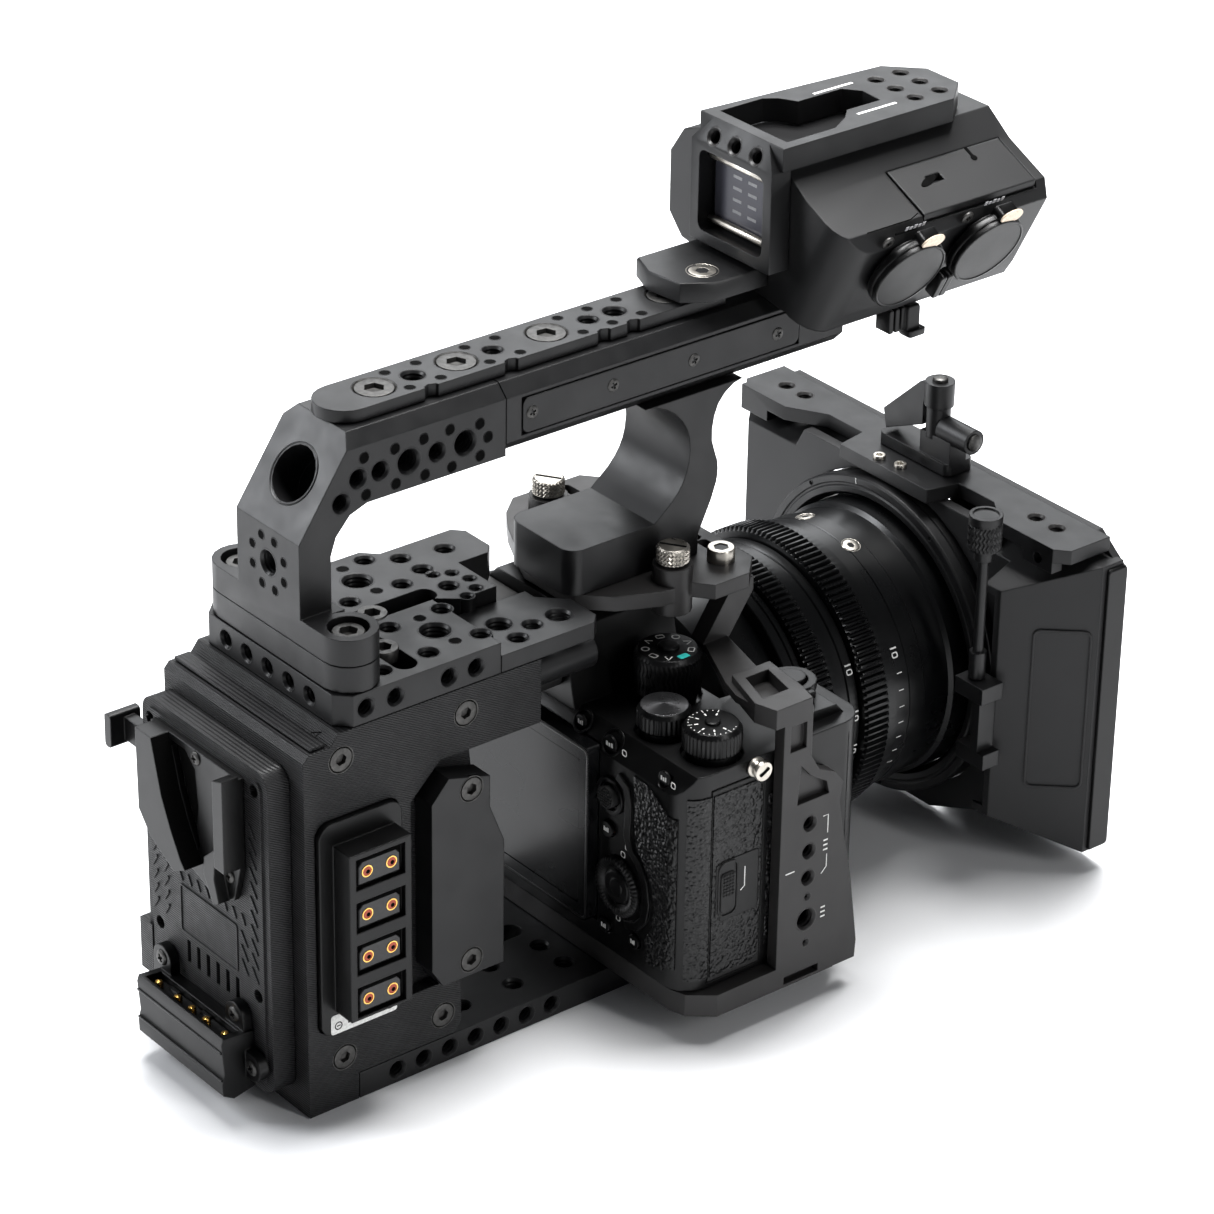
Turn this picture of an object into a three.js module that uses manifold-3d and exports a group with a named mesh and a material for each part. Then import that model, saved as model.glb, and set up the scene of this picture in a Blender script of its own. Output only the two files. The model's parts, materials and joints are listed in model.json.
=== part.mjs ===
// Cinema camera rig: power housing, cheese plates, top handle, caged camera, lens, matte box and audio.
// Millimetres, +Z up, the lens looks along +Y and the operator's right hand is at +X.
import * as THREE from 'three';
import Module from 'manifold-3d';

const wasm = await Module();
wasm.setup();

const GAP = 0.3;                 // clearance between neighbouring pieces
const QUARTER_TAP = 3.1;         // radius of a 1/4 inch tapped hole
const THREE_EIGHTHS_TAP = 4.6;   // radius of a 3/8 inch tapped hole
const SMALL_TAP = 2.1;           // radius of a small locating hole
const ROUND = 18;                // segments of a plain round piece
const HOLE_ROUND = 8;            // segments of a hole
const TINY_ROUND = 6;            // segments of a hole or pin under 2 mm radius

// driving dimensions
const HALF_WIDTH = 32;           // half width of the housing and plates
const HOUSING_TOP = 114.7;
const BASE_TOP = 8;
const TOP_PLATE_TOP = 124;
const LOWER_LEVEL_TOP = 120;
const HANDLE_HALF = 14;
const GRIP_BOTTOM = 167;
const GRIP_TOP = 187;
const RAIL_TOP = 190.8;
const CAGE_TOP = 117;
const CAMERA_BACK = 101;
const CAMERA_BOTTOM = 15.5;
const SHOULDER = 83;
const GRIP_SHOULDER = 86;
const CAMERA_SIDE = 65;
const LENS_X = -10;
const LENS_Z = 53;
const ORIGIN_Y = 125;            // the tripod face's centre, which becomes the origin

function solid(geometry) {
  const plain = geometry.index ? geometry.toNonIndexed() : geometry;
  const position = plain.getAttribute('position');
  const found = new Map();
  const vertices = [];
  const triangles = [];
  for (let i = 0; i < position.count; i += 1) {
    const point = [position.getX(i), position.getY(i), position.getZ(i)];
    const key = point.map((value) => Math.round(value * 1e4)).join('_');
    if (!found.has(key)) {
      found.set(key, vertices.length / 3);
      vertices.push(...point);
    }
    triangles.push(found.get(key));
  }
  const kept = [];
  for (let i = 0; i < triangles.length; i += 3) {
    const [a, b, c] = triangles.slice(i, i + 3);
    if (a !== b && b !== c && c !== a) kept.push(a, b, c);
  }
  return new wasm.Manifold(new wasm.Mesh({
    numProp: 3,
    vertProperties: new Float32Array(vertices),
    triVerts: new Uint32Array(kept),
  }));
}

function geometryOf(body) {
  const mesh = body.getMesh();
  const geometry = new THREE.BufferGeometry();
  geometry.setAttribute('position',
    new THREE.BufferAttribute(new Float32Array(mesh.vertProperties), 3));
  geometry.setIndex(new THREE.BufferAttribute(new Uint32Array(mesh.triVerts), 1));
  return geometry;
}

const join = (...bodies) => bodies.flat(2).reduce((sum, body) => sum.add(body));
const cut = (body, ...tools) => tools.flat(2).reduce((rest, tool) => rest.subtract(tool), body);

function block(x0, x1, y0, y1, z0, z1) {
  const box = new THREE.BoxGeometry(x1 - x0, y1 - y0, z1 - z0);
  box.translate((x0 + x1) / 2, (y0 + y1) / 2, (z0 + z1) / 2);
  return solid(box);
}

// a round bar between two heights of the axis named by `along`, centred on the other two coordinates
function bar(along, centre, radius, from, to, segments = ROUND, farRadius = radius) {
  const shape = new THREE.CylinderGeometry(farRadius, radius, to - from, segments);
  shape.translate(0, (from + to) / 2, 0);
  if (along === 'x') shape.rotateZ(-Math.PI / 2).translate(0, centre[0], centre[1]);
  if (along === 'y') shape.translate(centre[0], 0, centre[1]);
  if (along === 'z') shape.rotateX(Math.PI / 2).translate(centre[0], centre[1], 0);
  return solid(shape);
}

// a flat outline pushed along one axis; its points are x,y for 'z', x,z for 'y' and y,z for 'x'
function prism(along, outline, from, to) {
  const shape = outline instanceof THREE.Shape ? outline : new THREE.Shape(
    outline.map(([a, b]) => new THREE.Vector2(a, b)));
  const pushed = new THREE.ExtrudeGeometry(shape,
    { depth: to - from, bevelEnabled: false, curveSegments: 4 });
  pushed.translate(0, 0, from);
  if (along === 'x') pushed.rotateX(Math.PI / 2).rotateZ(Math.PI / 2);
  if (along === 'y') pushed.rotateX(Math.PI / 2).scale(1, -1, 1);
  return solid(along === 'y' ? flipped(pushed) : pushed);
}

function flipped(geometry) {
  const position = geometry.getAttribute('position');
  for (let i = 0; i < position.count; i += 3) {
    const kept = [position.getX(i), position.getY(i), position.getZ(i)];
    position.setXYZ(i, position.getX(i + 1), position.getY(i + 1), position.getZ(i + 1));
    position.setXYZ(i + 1, ...kept);
  }
  return geometry;
}

// a rectangle outline with cut or rounded corners
function roundedOutline(x0, x1, y0, y1, radius) {
  const shape = new THREE.Shape();
  shape.moveTo(x0 + radius, y0);
  shape.lineTo(x1 - radius, y0);
  shape.absarc(x1 - radius, y0 + radius, radius, -Math.PI / 2, 0);
  shape.lineTo(x1, y1 - radius);
  shape.absarc(x1 - radius, y1 - radius, radius, 0, Math.PI / 2);
  shape.lineTo(x0 + radius, y1);
  shape.absarc(x0 + radius, y1 - radius, radius, Math.PI / 2, Math.PI);
  shape.lineTo(x0, y0 + radius);
  shape.absarc(x0 + radius, y0 + radius, radius, Math.PI, 1.5 * Math.PI);
  return shape;
}

// a straight slot with round ends, cut through along z
function slot(x0, y0, x1, y1, radius, from, to) {
  const length = Math.hypot(x1 - x0, y1 - y0);
  const shape = roundedOutline(-radius, length + radius, -radius, radius, radius * 0.99);
  const pushed = new THREE.ExtrudeGeometry(shape,
    { depth: to - from, bevelEnabled: false, curveSegments: 4 });
  pushed.rotateZ(Math.atan2(y1 - y0, x1 - x0)).translate(x0, y0, from);
  return solid(pushed);
}

// a piece turned about the y axis through the lens centre, from closed radius and y pairs
function turned(profile, segments = 32) {
  const points = [...profile, profile[0]].map(([radius, y]) => new THREE.Vector2(radius, y));
  const lathe = new THREE.LatheGeometry(points, segments);
  lathe.translate(LENS_X, 0, LENS_Z);
  const body = solid(lathe);
  return body.volume() > 0 ? body : solid(flipped(lathe.toNonIndexed()));
}

// a coarse toothed edge: a ring of short ribs standing out of a round piece
function ribs(count, place) {
  return Array.from({ length: count }, (_, i) => place((2 * Math.PI * i) / count));
}

const tapDown = (x, y, radius, from, to) => bar('z', [x, y], radius, from, to, HOLE_ROUND);

const finish = {
  anodised: { color: 0x17181a, roughness: 0.42, metalness: 0.75 },
  polymer: { color: 0x1b1c1e, roughness: 0.62, metalness: 0.0 },
  shell: { color: 0x141517, roughness: 0.55, metalness: 0.1 },
  rubber: { color: 0x121213, roughness: 0.85, metalness: 0.0 },
  steel: { color: 0x8d8b86, roughness: 0.35, metalness: 0.9 },
  gold: { color: 0xc79a3c, roughness: 0.3, metalness: 0.95 },
  glass: { color: 0x10151b, roughness: 0.08, metalness: 0.0 },
  cap: { color: 0x1d1e20, roughness: 0.5, metalness: 0.0 },
};

const rig = new THREE.Group();
rig.name = 'cinema_camera_rig';

function add(name, body, look) {
  const mesh = new THREE.Mesh(geometryOf(body), new THREE.MeshStandardMaterial(finish[look]));
  mesh.name = name;
  rig.add(mesh);
}

// ---- base, housing and battery side ----

function basePlate() {
  const front = 158;
  const body = prism('z', [[-HALF_WIDTH, 16.5], [HALF_WIDTH, 16.5], [HALF_WIDTH, front - 6],
      [HALF_WIDTH - 6, front], [-HALF_WIDTH + 6, front], [-HALF_WIDTH, front - 6]], 0, BASE_TOP);
  const sideHoles = Array.from({ length: 7 }, (_, i) => 29 + i * 8.8)
    .map((y) => bar('x', [y, BASE_TOP / 2], 2.9, HALF_WIDTH - 9, HALF_WIDTH + 1, HOLE_ROUND));
  const topHoles = [];
  for (const y of [58, 76, 94]) {
    for (const x of [-22, -11, 11, 22]) topHoles.push(tapDown(x, y, QUARTER_TAP, -1, BASE_TOP + 1));
  }
  return cut(body, sideHoles, topHoles, slot(0, 60, 0, 92, 3.3, -1, BASE_TOP + 1));
}

function rearHousing() {
  const foot = BASE_TOP + GAP;
  const side = [[0, 0], [16.2, 0], [16.2, foot], [48.4, foot], [50.5, 11.4], [50.5, 26], [34, 26],
      [34, 86], [43.7, 95.5], [77.2, 95.5], [77.2, HOUSING_TOP], [11.1, HOUSING_TOP], [8.5, 111.4],
      [1.6, 111.2], [0, 109.4]];
  const body = prism('x', side, -HALF_WIDTH, HALF_WIDTH);
  const coverSeat = prism('x', [[33, 25], [60, 25], [60, 60], [56, 96], [33, 96]],
      -HALF_WIDTH, HALF_WIDTH - 4.3);
  const outletOutline = roundedOutline(3.05, 30.35, 24.25, 89.95, 4.2);
  const outletPocket = prism('x', outletOutline, HALF_WIDTH - 7, HALF_WIDTH + 1);
  const electronics = block(-HALF_WIDTH + 4, HALF_WIDTH - 9, 5, 31, -1, 104);
  const screwSeats = [[11.9, 106.7], [52.2, 106.8], [44.4, 15.4], [11.7, 15.1]].map((centre) =>
    bar('x', centre, 4, HALF_WIDTH - 1.8, HALF_WIDTH + 1, 14));
  return cut(join(body, coverSeat), outletPocket, electronics, screwSeats);
}

function rearCoverTrim() {
  return block(-HALF_WIDTH + 1, HALF_WIDTH - 1, 2.8, 7.6, 111.7, 112.5);
}

const plateX = [-32, 26];       // left and right edge of the battery plate

function batteryPlate() {
  const outline = roundedOutline(plateX[0], plateX[1], 6, 105, 5);
  const rim = prism('y', roundedOutline(plateX[0] + 2.6, plateX[1] - 2.6, 8.6, 102.4, 3), -7.8, -6.6);
  const cableExit = block(plateX[0] - 4, plateX[0] + 2, -8, -3, 17, 33);
  const body = join(prism('y', outline, -7.2, -GAP), rim, cableExit);
  const corners = [[-27.5, 99], [20.5, 99], [-26, 36], [20.5, 36]]
    .map(([x, z]) => bar('y', [x, z], 2, -9, -3, HOLE_ROUND));
  const vents = Array.from({ length: 6 }, (_, i) =>
    block(-13 + i * 4.6, -11.4 + i * 4.6, -9, -5.4, 30, 37));
  const leverNotch = block(plateX[0] - 1, plateX[0] + 2.1, -8.5, -3.8, 85.9, 93.7);
  return cut(body, corners, vents, leverNotch);
}

// the wedge seat: a thin floor with a deep pocket beside the left wing and a tall right-hand block
function batteryReceiver() {
  const back = -8.1;
  const floorFace = -9.8;
  const front = -15.5;
  const lower = [[-24, 76], [-18, 69.6], [-7, 63.6], [-1, 61.5], [5, 58.5], [13.3, 63], [16.4, 74]];
  const floor = prism('y', [[-24, 101], ...lower, [16.4, 101]], floorFace, back);
  const innerEdge = [[-1.2, 67.2], [-3.2, 69.4], [-7.5, 76.9], [-11.4, 85.4], [-15.6, 101]];
  const wing = prism('y', [[-23, 101], [-22.6, 76.4], [-17.4, 70.2], [-6.6, 64.4], ...innerEdge], front,
    floorFace + 0.1);
  const block = prism('y', [[11.8, 100.4], [11.8, 74.2], [16.4, 74.2], [16.4, 102]], -14.8, floorFace + 0.1);
  const hook = prism('y', [[4.6, 73.5], [4.2, 68], [8.4, 60.4], [11, 62], [9, 68.4], [9.7, 75], [12, 80]],
    -13.2, floorFace + 0.1);
  const pocket = prism('y', [[-15, 99], [-11, 85.8], [-7.2, 77.3], [-3.4, 70.6], [-2.2, 72], [-3.4, 77],
    [-2.5, 84], [-3.6, 95], [-8, 99]], -11, back + 1);
  return join(cut(floor, pocket), wing, block, hook);
}

function batteryReleaseLever() {
  const arm = block(-41, -32.6, -7.6, -4.2, 86.3, 93.3);
  const paddle = prism('y', roundedOutline(-43.6, -40.6, 84.8, 94.8, 1), -12, -2.4);
  return join(arm, paddle);
}

function contactBlock() {
  const back = -8.1;
  const top = 24.4;
  const side = [[back, 7], [back, top], [-18, top + 0.8], [-18.6, top - 1], [-17.8, 14], [-18.6, 11],
      [-18.4, 7.4], [-15, 5.4]];
  const body = prism('x', side, -22, 18.4);
  const ears = [[-21, 28], [13.4, 27.6]].map(([x, z]) => join(
    bar('y', [x, z], 4.2, -11, back), block(x - 4.2, x + 4.2, -11, back, 20, z)));
  const tail = join(bar('y', [21, 15], 4.2, -11, back), block(14, 21, -11, back, 10.8, 19.2));
  const tray = block(-20, 16.4, -17, -12, 22.2, 27);
  return cut(join(body, ears, tail), tray);
}

function contactPinStrip() {
  const base = block(-19.6, 16, -16.6, -12.4, 22.5, 22.9);
  const pins = [-16.6, -7.4, -0.7, 6.1, 14.9].map((x) =>
    bar('z', [x, -15.1], 1.1, 22.7, 25, HOLE_ROUND, 0.7));
  return join(base, pins);
}

// four two-pin outlets in one tall block that stands out of a rounded bezel
function powerOutletBlock() {
  const face = HALF_WIDTH + 9;
  const bezel = prism('x', roundedOutline(3.4, 30, 24.6, 89.6, 4), HALF_WIDTH - 6.6, HALF_WIDTH + 1.6);
  const tower = block(HALF_WIDTH, face, 7.8, 27.6, 32, 83);
  const sockets = [];
  const contacts = [];
  for (let i = 0; i < 4; i += 1) {
    const z = 37.4 + i * 13.1;
    sockets.push(block(face - 2, face + 1, 9.8, 25.6, z - 4.7, z + 4.7));
    for (const y of [13.8, 21.6]) contacts.push(bar('x', [y, z], 2.1, face - 3, face - 0.8, HOLE_ROUND));
  }
  return join(cut(join(bezel, tower), sockets), contacts);
}

function sideCoverPlate() {
  const outline = [[38.4, 33], [42, 27.4], [62.4, 27.4], [62.4, 66], [57.6, 78], [57.6, 87.5],
      [44, 91.2], [38.4, 85]];
  const body = prism('x', outline, HALF_WIDTH - 4, HALF_WIDTH + 3.4);
  const screwSeats = [32.2, 85.5].map((z) =>
    bar('x', [51.5, z], 3.9, HALF_WIDTH + 1.6, HALF_WIDTH + 4, 14));
  return cut(body, screwSeats);
}

// ---- top cheese plates ----

// a 3/8 inch hole with a 1/4 inch hole at each corner of a square
function plateHolePattern(x, y, z0, z1) {
  const reach = 8.6;
  const corners = [[-reach, -reach], [reach, -reach], [-reach, reach], [reach, reach]]
    .map(([dx, dy]) => tapDown(x + dx, y + dy, QUARTER_TAP, z0, z1));
  return [tapDown(x, y, THREE_EIGHTHS_TAP, z0, z1), ...corners];
}

function topPlateRear() {
  const outline = [[-HALF_WIDTH, 16], [-28, 12], [28, 12], [HALF_WIDTH, 16], [HALF_WIDTH, 63.7],
      [1, 63.7], [6, 70], [6, 82], [-11, 82], [-11, 92], [-14, 95], [-25, 95], [-28, 92], [-28, 68],
      [-HALF_WIDTH, 64]];
  const body = prism('z', outline, HOUSING_TOP + GAP, TOP_PLATE_TOP);
  const through = [HOUSING_TOP - 1, TOP_PLATE_TOP + 1];
  const middle = (HOUSING_TOP + TOP_PLATE_TOP) / 2;
  const rear = [-20, -10.5, -1, 8.5, 18].map((x) => bar('y', [x, middle], 2.9, 11, 20, HOLE_ROUND));
  const side = [20, 29.4, 46.7, 55.5].map((y) =>
    bar('x', [y, middle], 2.9, HALF_WIDTH - 8, HALF_WIDTH + 1, HOLE_ROUND));
  const patterns = [-19, 16].map((x) => plateHolePattern(x, 54, ...through));
  const extra = [[-22.5, 71], [-14, 72], [-20, 84], [25, 30]].map(([x, y]) =>
    tapDown(x, y, QUARTER_TAP, ...through));
  const fan = Array.from({ length: 5 }, (_, i) => (Math.PI * i) / 4)
    .map((a) => tapDown(-2 + 7.6 * Math.cos(a), 72.4 + 6.6 * Math.sin(a), SMALL_TAP, ...through));
  const centre = tapDown(-2, 72, QUARTER_TAP, ...through);
  const slots = [slot(-1.6, 40, -1.6, 63.5, 3.4, ...through), slot(12, 37, 25.5, 37, 3.4, ...through)];
  return cut(body, rear, side, patterns, extra, fan, centre, slots);
}

function topPlateFront() {
  const outline = [[HALF_WIDTH, 64], [HALF_WIDTH, 95], [29, 98], [18, 98], [11, 91], [7, 91], [7, 64]];
  const body = prism('z', outline, HOUSING_TOP + GAP, LOWER_LEVEL_TOP);
  const through = [HOUSING_TOP - 1, LOWER_LEVEL_TOP + 1];
  const holes = [[17.5, 74, 3.9], [23, 90, 3.9], [26.5, 73.5, QUARTER_TAP], [23, 81, QUARTER_TAP]]
    .map(([x, y, radius]) => tapDown(x, y, radius, ...through));
  return cut(body, holes);
}

// ---- top handle ----

const bossX = 24;
const bossY = 20.4;

function handleBaseLower() {
  const z0 = TOP_PLATE_TOP + GAP;
  const z1 = 131.7;
  return join(block(-bossX, bossX, 12.4, 26, z0, z1),
    [-bossX, bossX].map((x) => bar('z', [x, bossY], 8, z0, z1)));
}

function handleRearBlock() {
  const z0 = 132;
  const z1 = 139.6;
  const bosses = [-bossX, bossX];
  const foot = join(block(-bossX, bossX, 12.4, 20, z0, z1), block(-16, 16, 12.4, 25, z0, z1),
    bosses.map((x) => bar('z', [x, bossY], 8, z0, z1)));
  const wells = bosses.map((x) => bar('z', [x, bossY], 5.6, 135.4, 141));
  const side = [[12.4, 139], [12.4, 161], [30, GRIP_TOP], [78.8, GRIP_TOP], [78.8, GRIP_BOTTOM],
      [34, GRIP_BOTTOM], [28.5, 165], [24, 160], [22.3, 155], [22.3, 139]];
  const section = prism('y', gripSection(HANDLE_HALF, 130, GRIP_TOP, 3.5), 5, 90);
  const body = prism('x', side, -HANDLE_HALF, HANDLE_HALF).intersect(section);
  const across = (y, z, radius, from) => bar('x', [y, z], radius, from, HANDLE_HALF + 1, HOLE_ROUND);
  const small = [38.2, 56.4].map((y) => across(y, 174.8, 3, -HANDLE_HALF - 1));
  const large = [47.3, 65.5].map((y) => across(y, 174.8, 3.9, -HANDLE_HALF - 1));
  const blind = [[25.8, 169.1], [31.2, 174.6]].map(([y, z]) => across(y, z, 3, 8));
  const rearHole = bar('y', [0, 150.5], 3.9, 11, 23, HOLE_ROUND);
  const bore = new THREE.CylinderGeometry(7.8, 7.8, 20, ROUND);
  bore.rotateX(Math.atan2(17.6, -26)).translate(0, 20.8, 173.8);
  return cut(join(cut(foot, wells), body), small, large, blind, rearHole, solid(bore));
}

const gripEnd = 196;

function gripSection(half, bottom, top, corner) {
  return [[-half + corner, bottom], [half - corner, bottom], [half, bottom + corner],
      [half, top - corner], [half - corner, top], [-half + corner, top], [-half, top - corner],
      [-half, bottom + corner]];
}

function handleGrip() {
  const body = prism('y', gripSection(HANDLE_HALF, GRIP_BOTTOM, GRIP_TOP, 3.5), 79.1, gripEnd);
  const recess = [-1, 1].map((s) => block(Math.min(s * 12.6, s * 15), Math.max(s * 12.6, s * 15), 84,
    180, 171.5, 182.5));
  return cut(body, recess);
}

function handleSidePanel(sign) {
  const x = [sign * 12.9, sign * 14.2].sort((a, b) => a - b);
  const plate = prism('x', roundedOutline(84.4, 179.6, 171.9, 182.1, 2), ...x);
  return plate;
}

function handleTopRail() {
  const half = 8.4;
  const end = 158;
  const outline = [[-half, end]];
  for (let i = 0; i <= 10; i += 1) {
    const a = Math.PI + (Math.PI * i) / 10;
    outline.push([half * Math.cos(a), 37 + half * Math.sin(a)]);
  }
  outline.push([half, end]);
  const body = prism('z', outline, GRIP_TOP + GAP, RAIL_TOP);
  const below = GRIP_TOP;
  const above = RAIL_TOP + 1;
  const holes = [[59, 3.6], [85, QUARTER_TAP], [117, QUARTER_TAP], [126, 3.6]].map(([y, r]) =>
    tapDown(0, y, r, below, above));
  const notches = [59, 85, 116, 126].map((y) => tapDown(half + 1, y, 2.6, below, above));
  const screwSeats = [46.6, 73.1, 102.9, 143.9].map((y) =>
    bar('z', [0, y], 6, RAIL_TOP - 1.8, above, 16));
  return cut(body, holes, notches, screwSeats);
}

function handleFrontLeg() {
  const rear = new THREE.CatmullRomCurve3([[126, 168], [136, 163], [141.5, 155], [141.5, 145],
      [138, 138], [130, 131]]
    .map(([y, z]) => new THREE.Vector3(0, y, z))).getPoints(14).map((p) =>
      [p.y, Math.min(p.z, GRIP_BOTTOM - GAP)]);
  const front = new THREE.CatmullRomCurve3([[144, 120], [151.5, 137], [152, 143], [149.6, 152],
      [152, 162], [160, 168]]
    .map(([y, z]) => new THREE.Vector3(0, y, z))).getPoints(14).map((p) =>
      [p.y, Math.min(p.z, GRIP_BOTTOM - GAP)]);
  const leg = prism('x', [...rear, ...front].filter(([, z], i, all) => i === 0 || z !== all[i - 1][1]),
    -HANDLE_HALF, HANDLE_HALF);
  const foot = prism('z', roundedOutline(-HANDLE_HALF, HANDLE_HALF, 101, 148, 4.5), CAGE_TOP + GAP,
    131);
  return join(leg, foot);
}

// ---- caged camera ----

// the two knurled screws that fasten the handle's front foot to the cage
const thumbPlaces = [[20.9, 131], [-32.1, 129.4]];

function cageTopPlate() {
  const z0 = 112.5;
  const outline = [[-38, 119], [-30, 113.5], [-17, 107], [-10, 104], [12, 104], [20, 112], [25.5, 124],
    [26, 134], [31, 138], [31, 150], [24, 157], [-36, 157], [-44, 150], [-44, 126]];
  const body = prism('z', outline, z0, CAGE_TOP);
  const bosses = thumbPlaces.map(([x, y]) => bar('z', [x, y], 5.6, 108, 122));
  const capScrew = bar('z', [20, 149], 3.7, CAGE_TOP - 1, CAGE_TOP + 3.6, 16);
  const keyholes = [[-40, 142], [-26, 151], [2, 151.6], [9.5, 151.6]].map(([x, y]) =>
    slot(x, y, x + 3.6, y, 1.7, z0 - 1, CAGE_TOP + 1));
  return cut(join(body, bosses, capScrew), keyholes);
}

function thumbScrew(x, y) {
  const knurl = bar('z', [x, y], 4.6, 122.9, 127.4);
  const slotCut = block(x - 6, x + 6, y - 0.5, y + 0.5, 126.5, 128);
  return cut(join(knurl, bar('z', [x, y], 3.4, 122.3, 123.2, 14)), slotCut);
}

// a floor under the camera, a tall right side, a short left side and an arm to the top plate
function cameraCage() {
  const y0 = 101.6;
  const floor = prism('z', [[-72, 106], [-66, y0], [59, y0], [64, y0 + 1.5], [69.5, 110], [69.5, 152],
      [62, 160], [-66, 160], [-72, 154]], BASE_TOP + GAP, CAMERA_BOTTOM - GAP);
  const side = prism('x', [[131, 8.5], [160, 8.5], [160.4, 14], [157, 38], [153.7, 52], [152, 62],
      [153, 68], [150, 72], [144, 75], [141, 80], [141, 96], [131, 96]], CAMERA_SIDE + 0.6, 69.5);
  const leftSide = prism('x', [[108, 8.5], [150, 8.5], [150, 60], [108, 60]], -72, -68);
  const arm = prism('z', [[20.5, 138.4], [27, 138.4], [46, 129.6], [53, 127.3], [66, 127.3], [66, 141.4],
    [47.3, 141.4], [26, 147], [20.5, 147]], 94, 96.3);
  const shoe = prism('z', [[47, 131], [62.5, 126], [69.5, 128], [69.5, 140.6], [62.5, 142.5], [47, 144.4]],
    92.4, 98.4);
  const post = prism('x', [[138.4, 96.2], [138.4, 94], [146.5, 94], [156, 108], [156, 112.2], [149, 112.2]],
    20.5, 26);
  const shoePocket = prism('z', [[50.4, 133], [62, 129.4], [62, 138.4], [50.4, 141]], 94.8, 99);
  const sidePocket = block(68, 71, 133.3, 139, 83.5, 91.5);
  const quarter = [58.5, 49.7, 41.2].map((z) => bar('x', [141.4, z], 2.6, 64, 71, HOLE_ROUND));
  const locating = [35, 20.2].map((z) => bar('x', [141.5, z], 1.3, 64, 71, TINY_ROUND));
  const threeEighths = bar('x', [141.4, 27.8], 3.6, 64, 71, HOLE_ROUND);
  const strap = block(67, 71, 134, 146.5, 9.2, 11.6);
  const scoop = prism('x', [[136.5, 66], [148, 66], [147, 70], [141.5, 73.5], [137.5, 78]], 67.6, 71);
  return cut(join(floor, side, leftSide, arm, shoe, post), shoePocket, sidePocket, quarter, locating,
    threeEighths, strap, scoop);
}

function cameraBody() {
  const left = -64;
  const round = 8;
  const cornerArc = (y, start) => Array.from({ length: 6 }, (_, i) => start + (i * Math.PI) / 10)
    .map((a) => [CAMERA_SIDE - round + round * Math.cos(a), y + round * Math.sin(a)]);
  const outline = [[left, CAMERA_BACK + 3], [left + 3, CAMERA_BACK],
    ...cornerArc(CAMERA_BACK + round, -Math.PI / 2), ...cornerArc(157, 0), [42, 165], [36, 158], [34, 138],
    [left + 4, 138], [left, 134]];
  const topBevel = prism('x', [[100, 76.5], [CAMERA_BACK, 76.5], [105.5, SHOULDER],
      [105.5, SHOULDER + 1], [100, SHOULDER + 1]], left - 1, CAMERA_SIDE + 1);
  const body = cut(prism('z', outline, CAMERA_BOTTOM, SHOULDER), topBevel);
  const hump = prism('y', [[-34, SHOULDER - 1], [14, SHOULDER - 1], [9, 104], [1, 111.8], [-21, 111.8],
      [-29, 104]], 103, 140.8);
  const gripTop = prism('x', [[137, 60], [163, 60], [163, 80], [158, GRIP_SHOULDER],
      [146, GRIP_SHOULDER + 0.6], [137, SHOULDER]], 37, 60);
  const mount = bar('y', [LENS_X, LENS_Z], 31, 130, 141, 40);
  const monitor = block(-56, 27.9, 97, 103, 22, 78);
  const door = block(CAMERA_SIDE - 1.9, 66, 109.6, 128.4, 17, 78);
  const dialWells = [[23, 128.4, 9.8], [38.2, 114.8, 8.1], [55.2, 117.6, 8.7]]
    .map(([x, y, radius]) => bar('z', [x, y], radius, SHOULDER - 2, SHOULDER + 2));
  const shutterWell = bar('z', shutterPlace, 4.6, GRIP_SHOULDER - 0.8, GRIP_SHOULDER + 2);
  const wells = Object.values(backControls).map(buttonWell);
  return cut(join(body, hump, mount, gripTop), monitor, door, dialWells, shutterWell, wells);
}

function rearMonitor() {
  const panel = prism('y', roundedOutline(-52, 27.6, 22.4, 77.6, 2), 97.4, 102.7);
  const glass = block(-48, 23.4, 97, 97.9, 27, 73);
  return cut(panel, glass);
}

function eyecup() {
  const outer = prism('y', roundedOutline(-29, 9, 86, 108, 5), 90, 102.6);
  const inner = prism('y', roundedOutline(-22, 2, 90, 104, 3), 89, 95);
  return cut(outer, inner);
}

function dial(x, y, radius, z0, z1, teeth) {
  const core = bar('z', [x, y], radius - 0.5, z0, z1, ROUND);
  const edge = ribs(teeth, (a) => bar('z',
    [x + (radius - 0.6) * Math.cos(a), y + (radius - 0.6) * Math.sin(a)], 0.6, z0 + 0.8, z1 - 1, 4));
  return join(core, edge);
}

function controlWheel() {
  const [x, z, radius] = [37.6, 38.2, 9];
  const core = bar('y', [x, z], radius - 0.2, 99.2, 100.7);
  const edge = ribs(12, (a) =>
    bar('y', [x + (radius - 0.4) * Math.cos(a), z + (radius - 0.4) * Math.sin(a)], 0.4, 99.4, 100.6, 4));
  return cut(join(core, edge), bar('y', [x, z], 5.4, 98, 99.9, 16));
}

// controls that are pressed into the camera's back: centre x and z, radius and y of the face
const backControls = {
  c1_button: [17.5, 80.3, 2.2, 102.4],
  af_button: [30.8, 79.4, 2.7, 102],
  lock_button: [53.9, 79.3, 2.3, 102.1],
  function_button: [32.4, 54.1, 2.4, 100],
  playback_button: [31.8, 22.8, 2.2, 100.1],
  delete_button: [44.6, 23.7, 2.2, 100.1],
  joystick: [33, 64.8, 3.3, 98.8],
};
const PRESS_ROOM = 0.9;          // free depth behind a button

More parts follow.
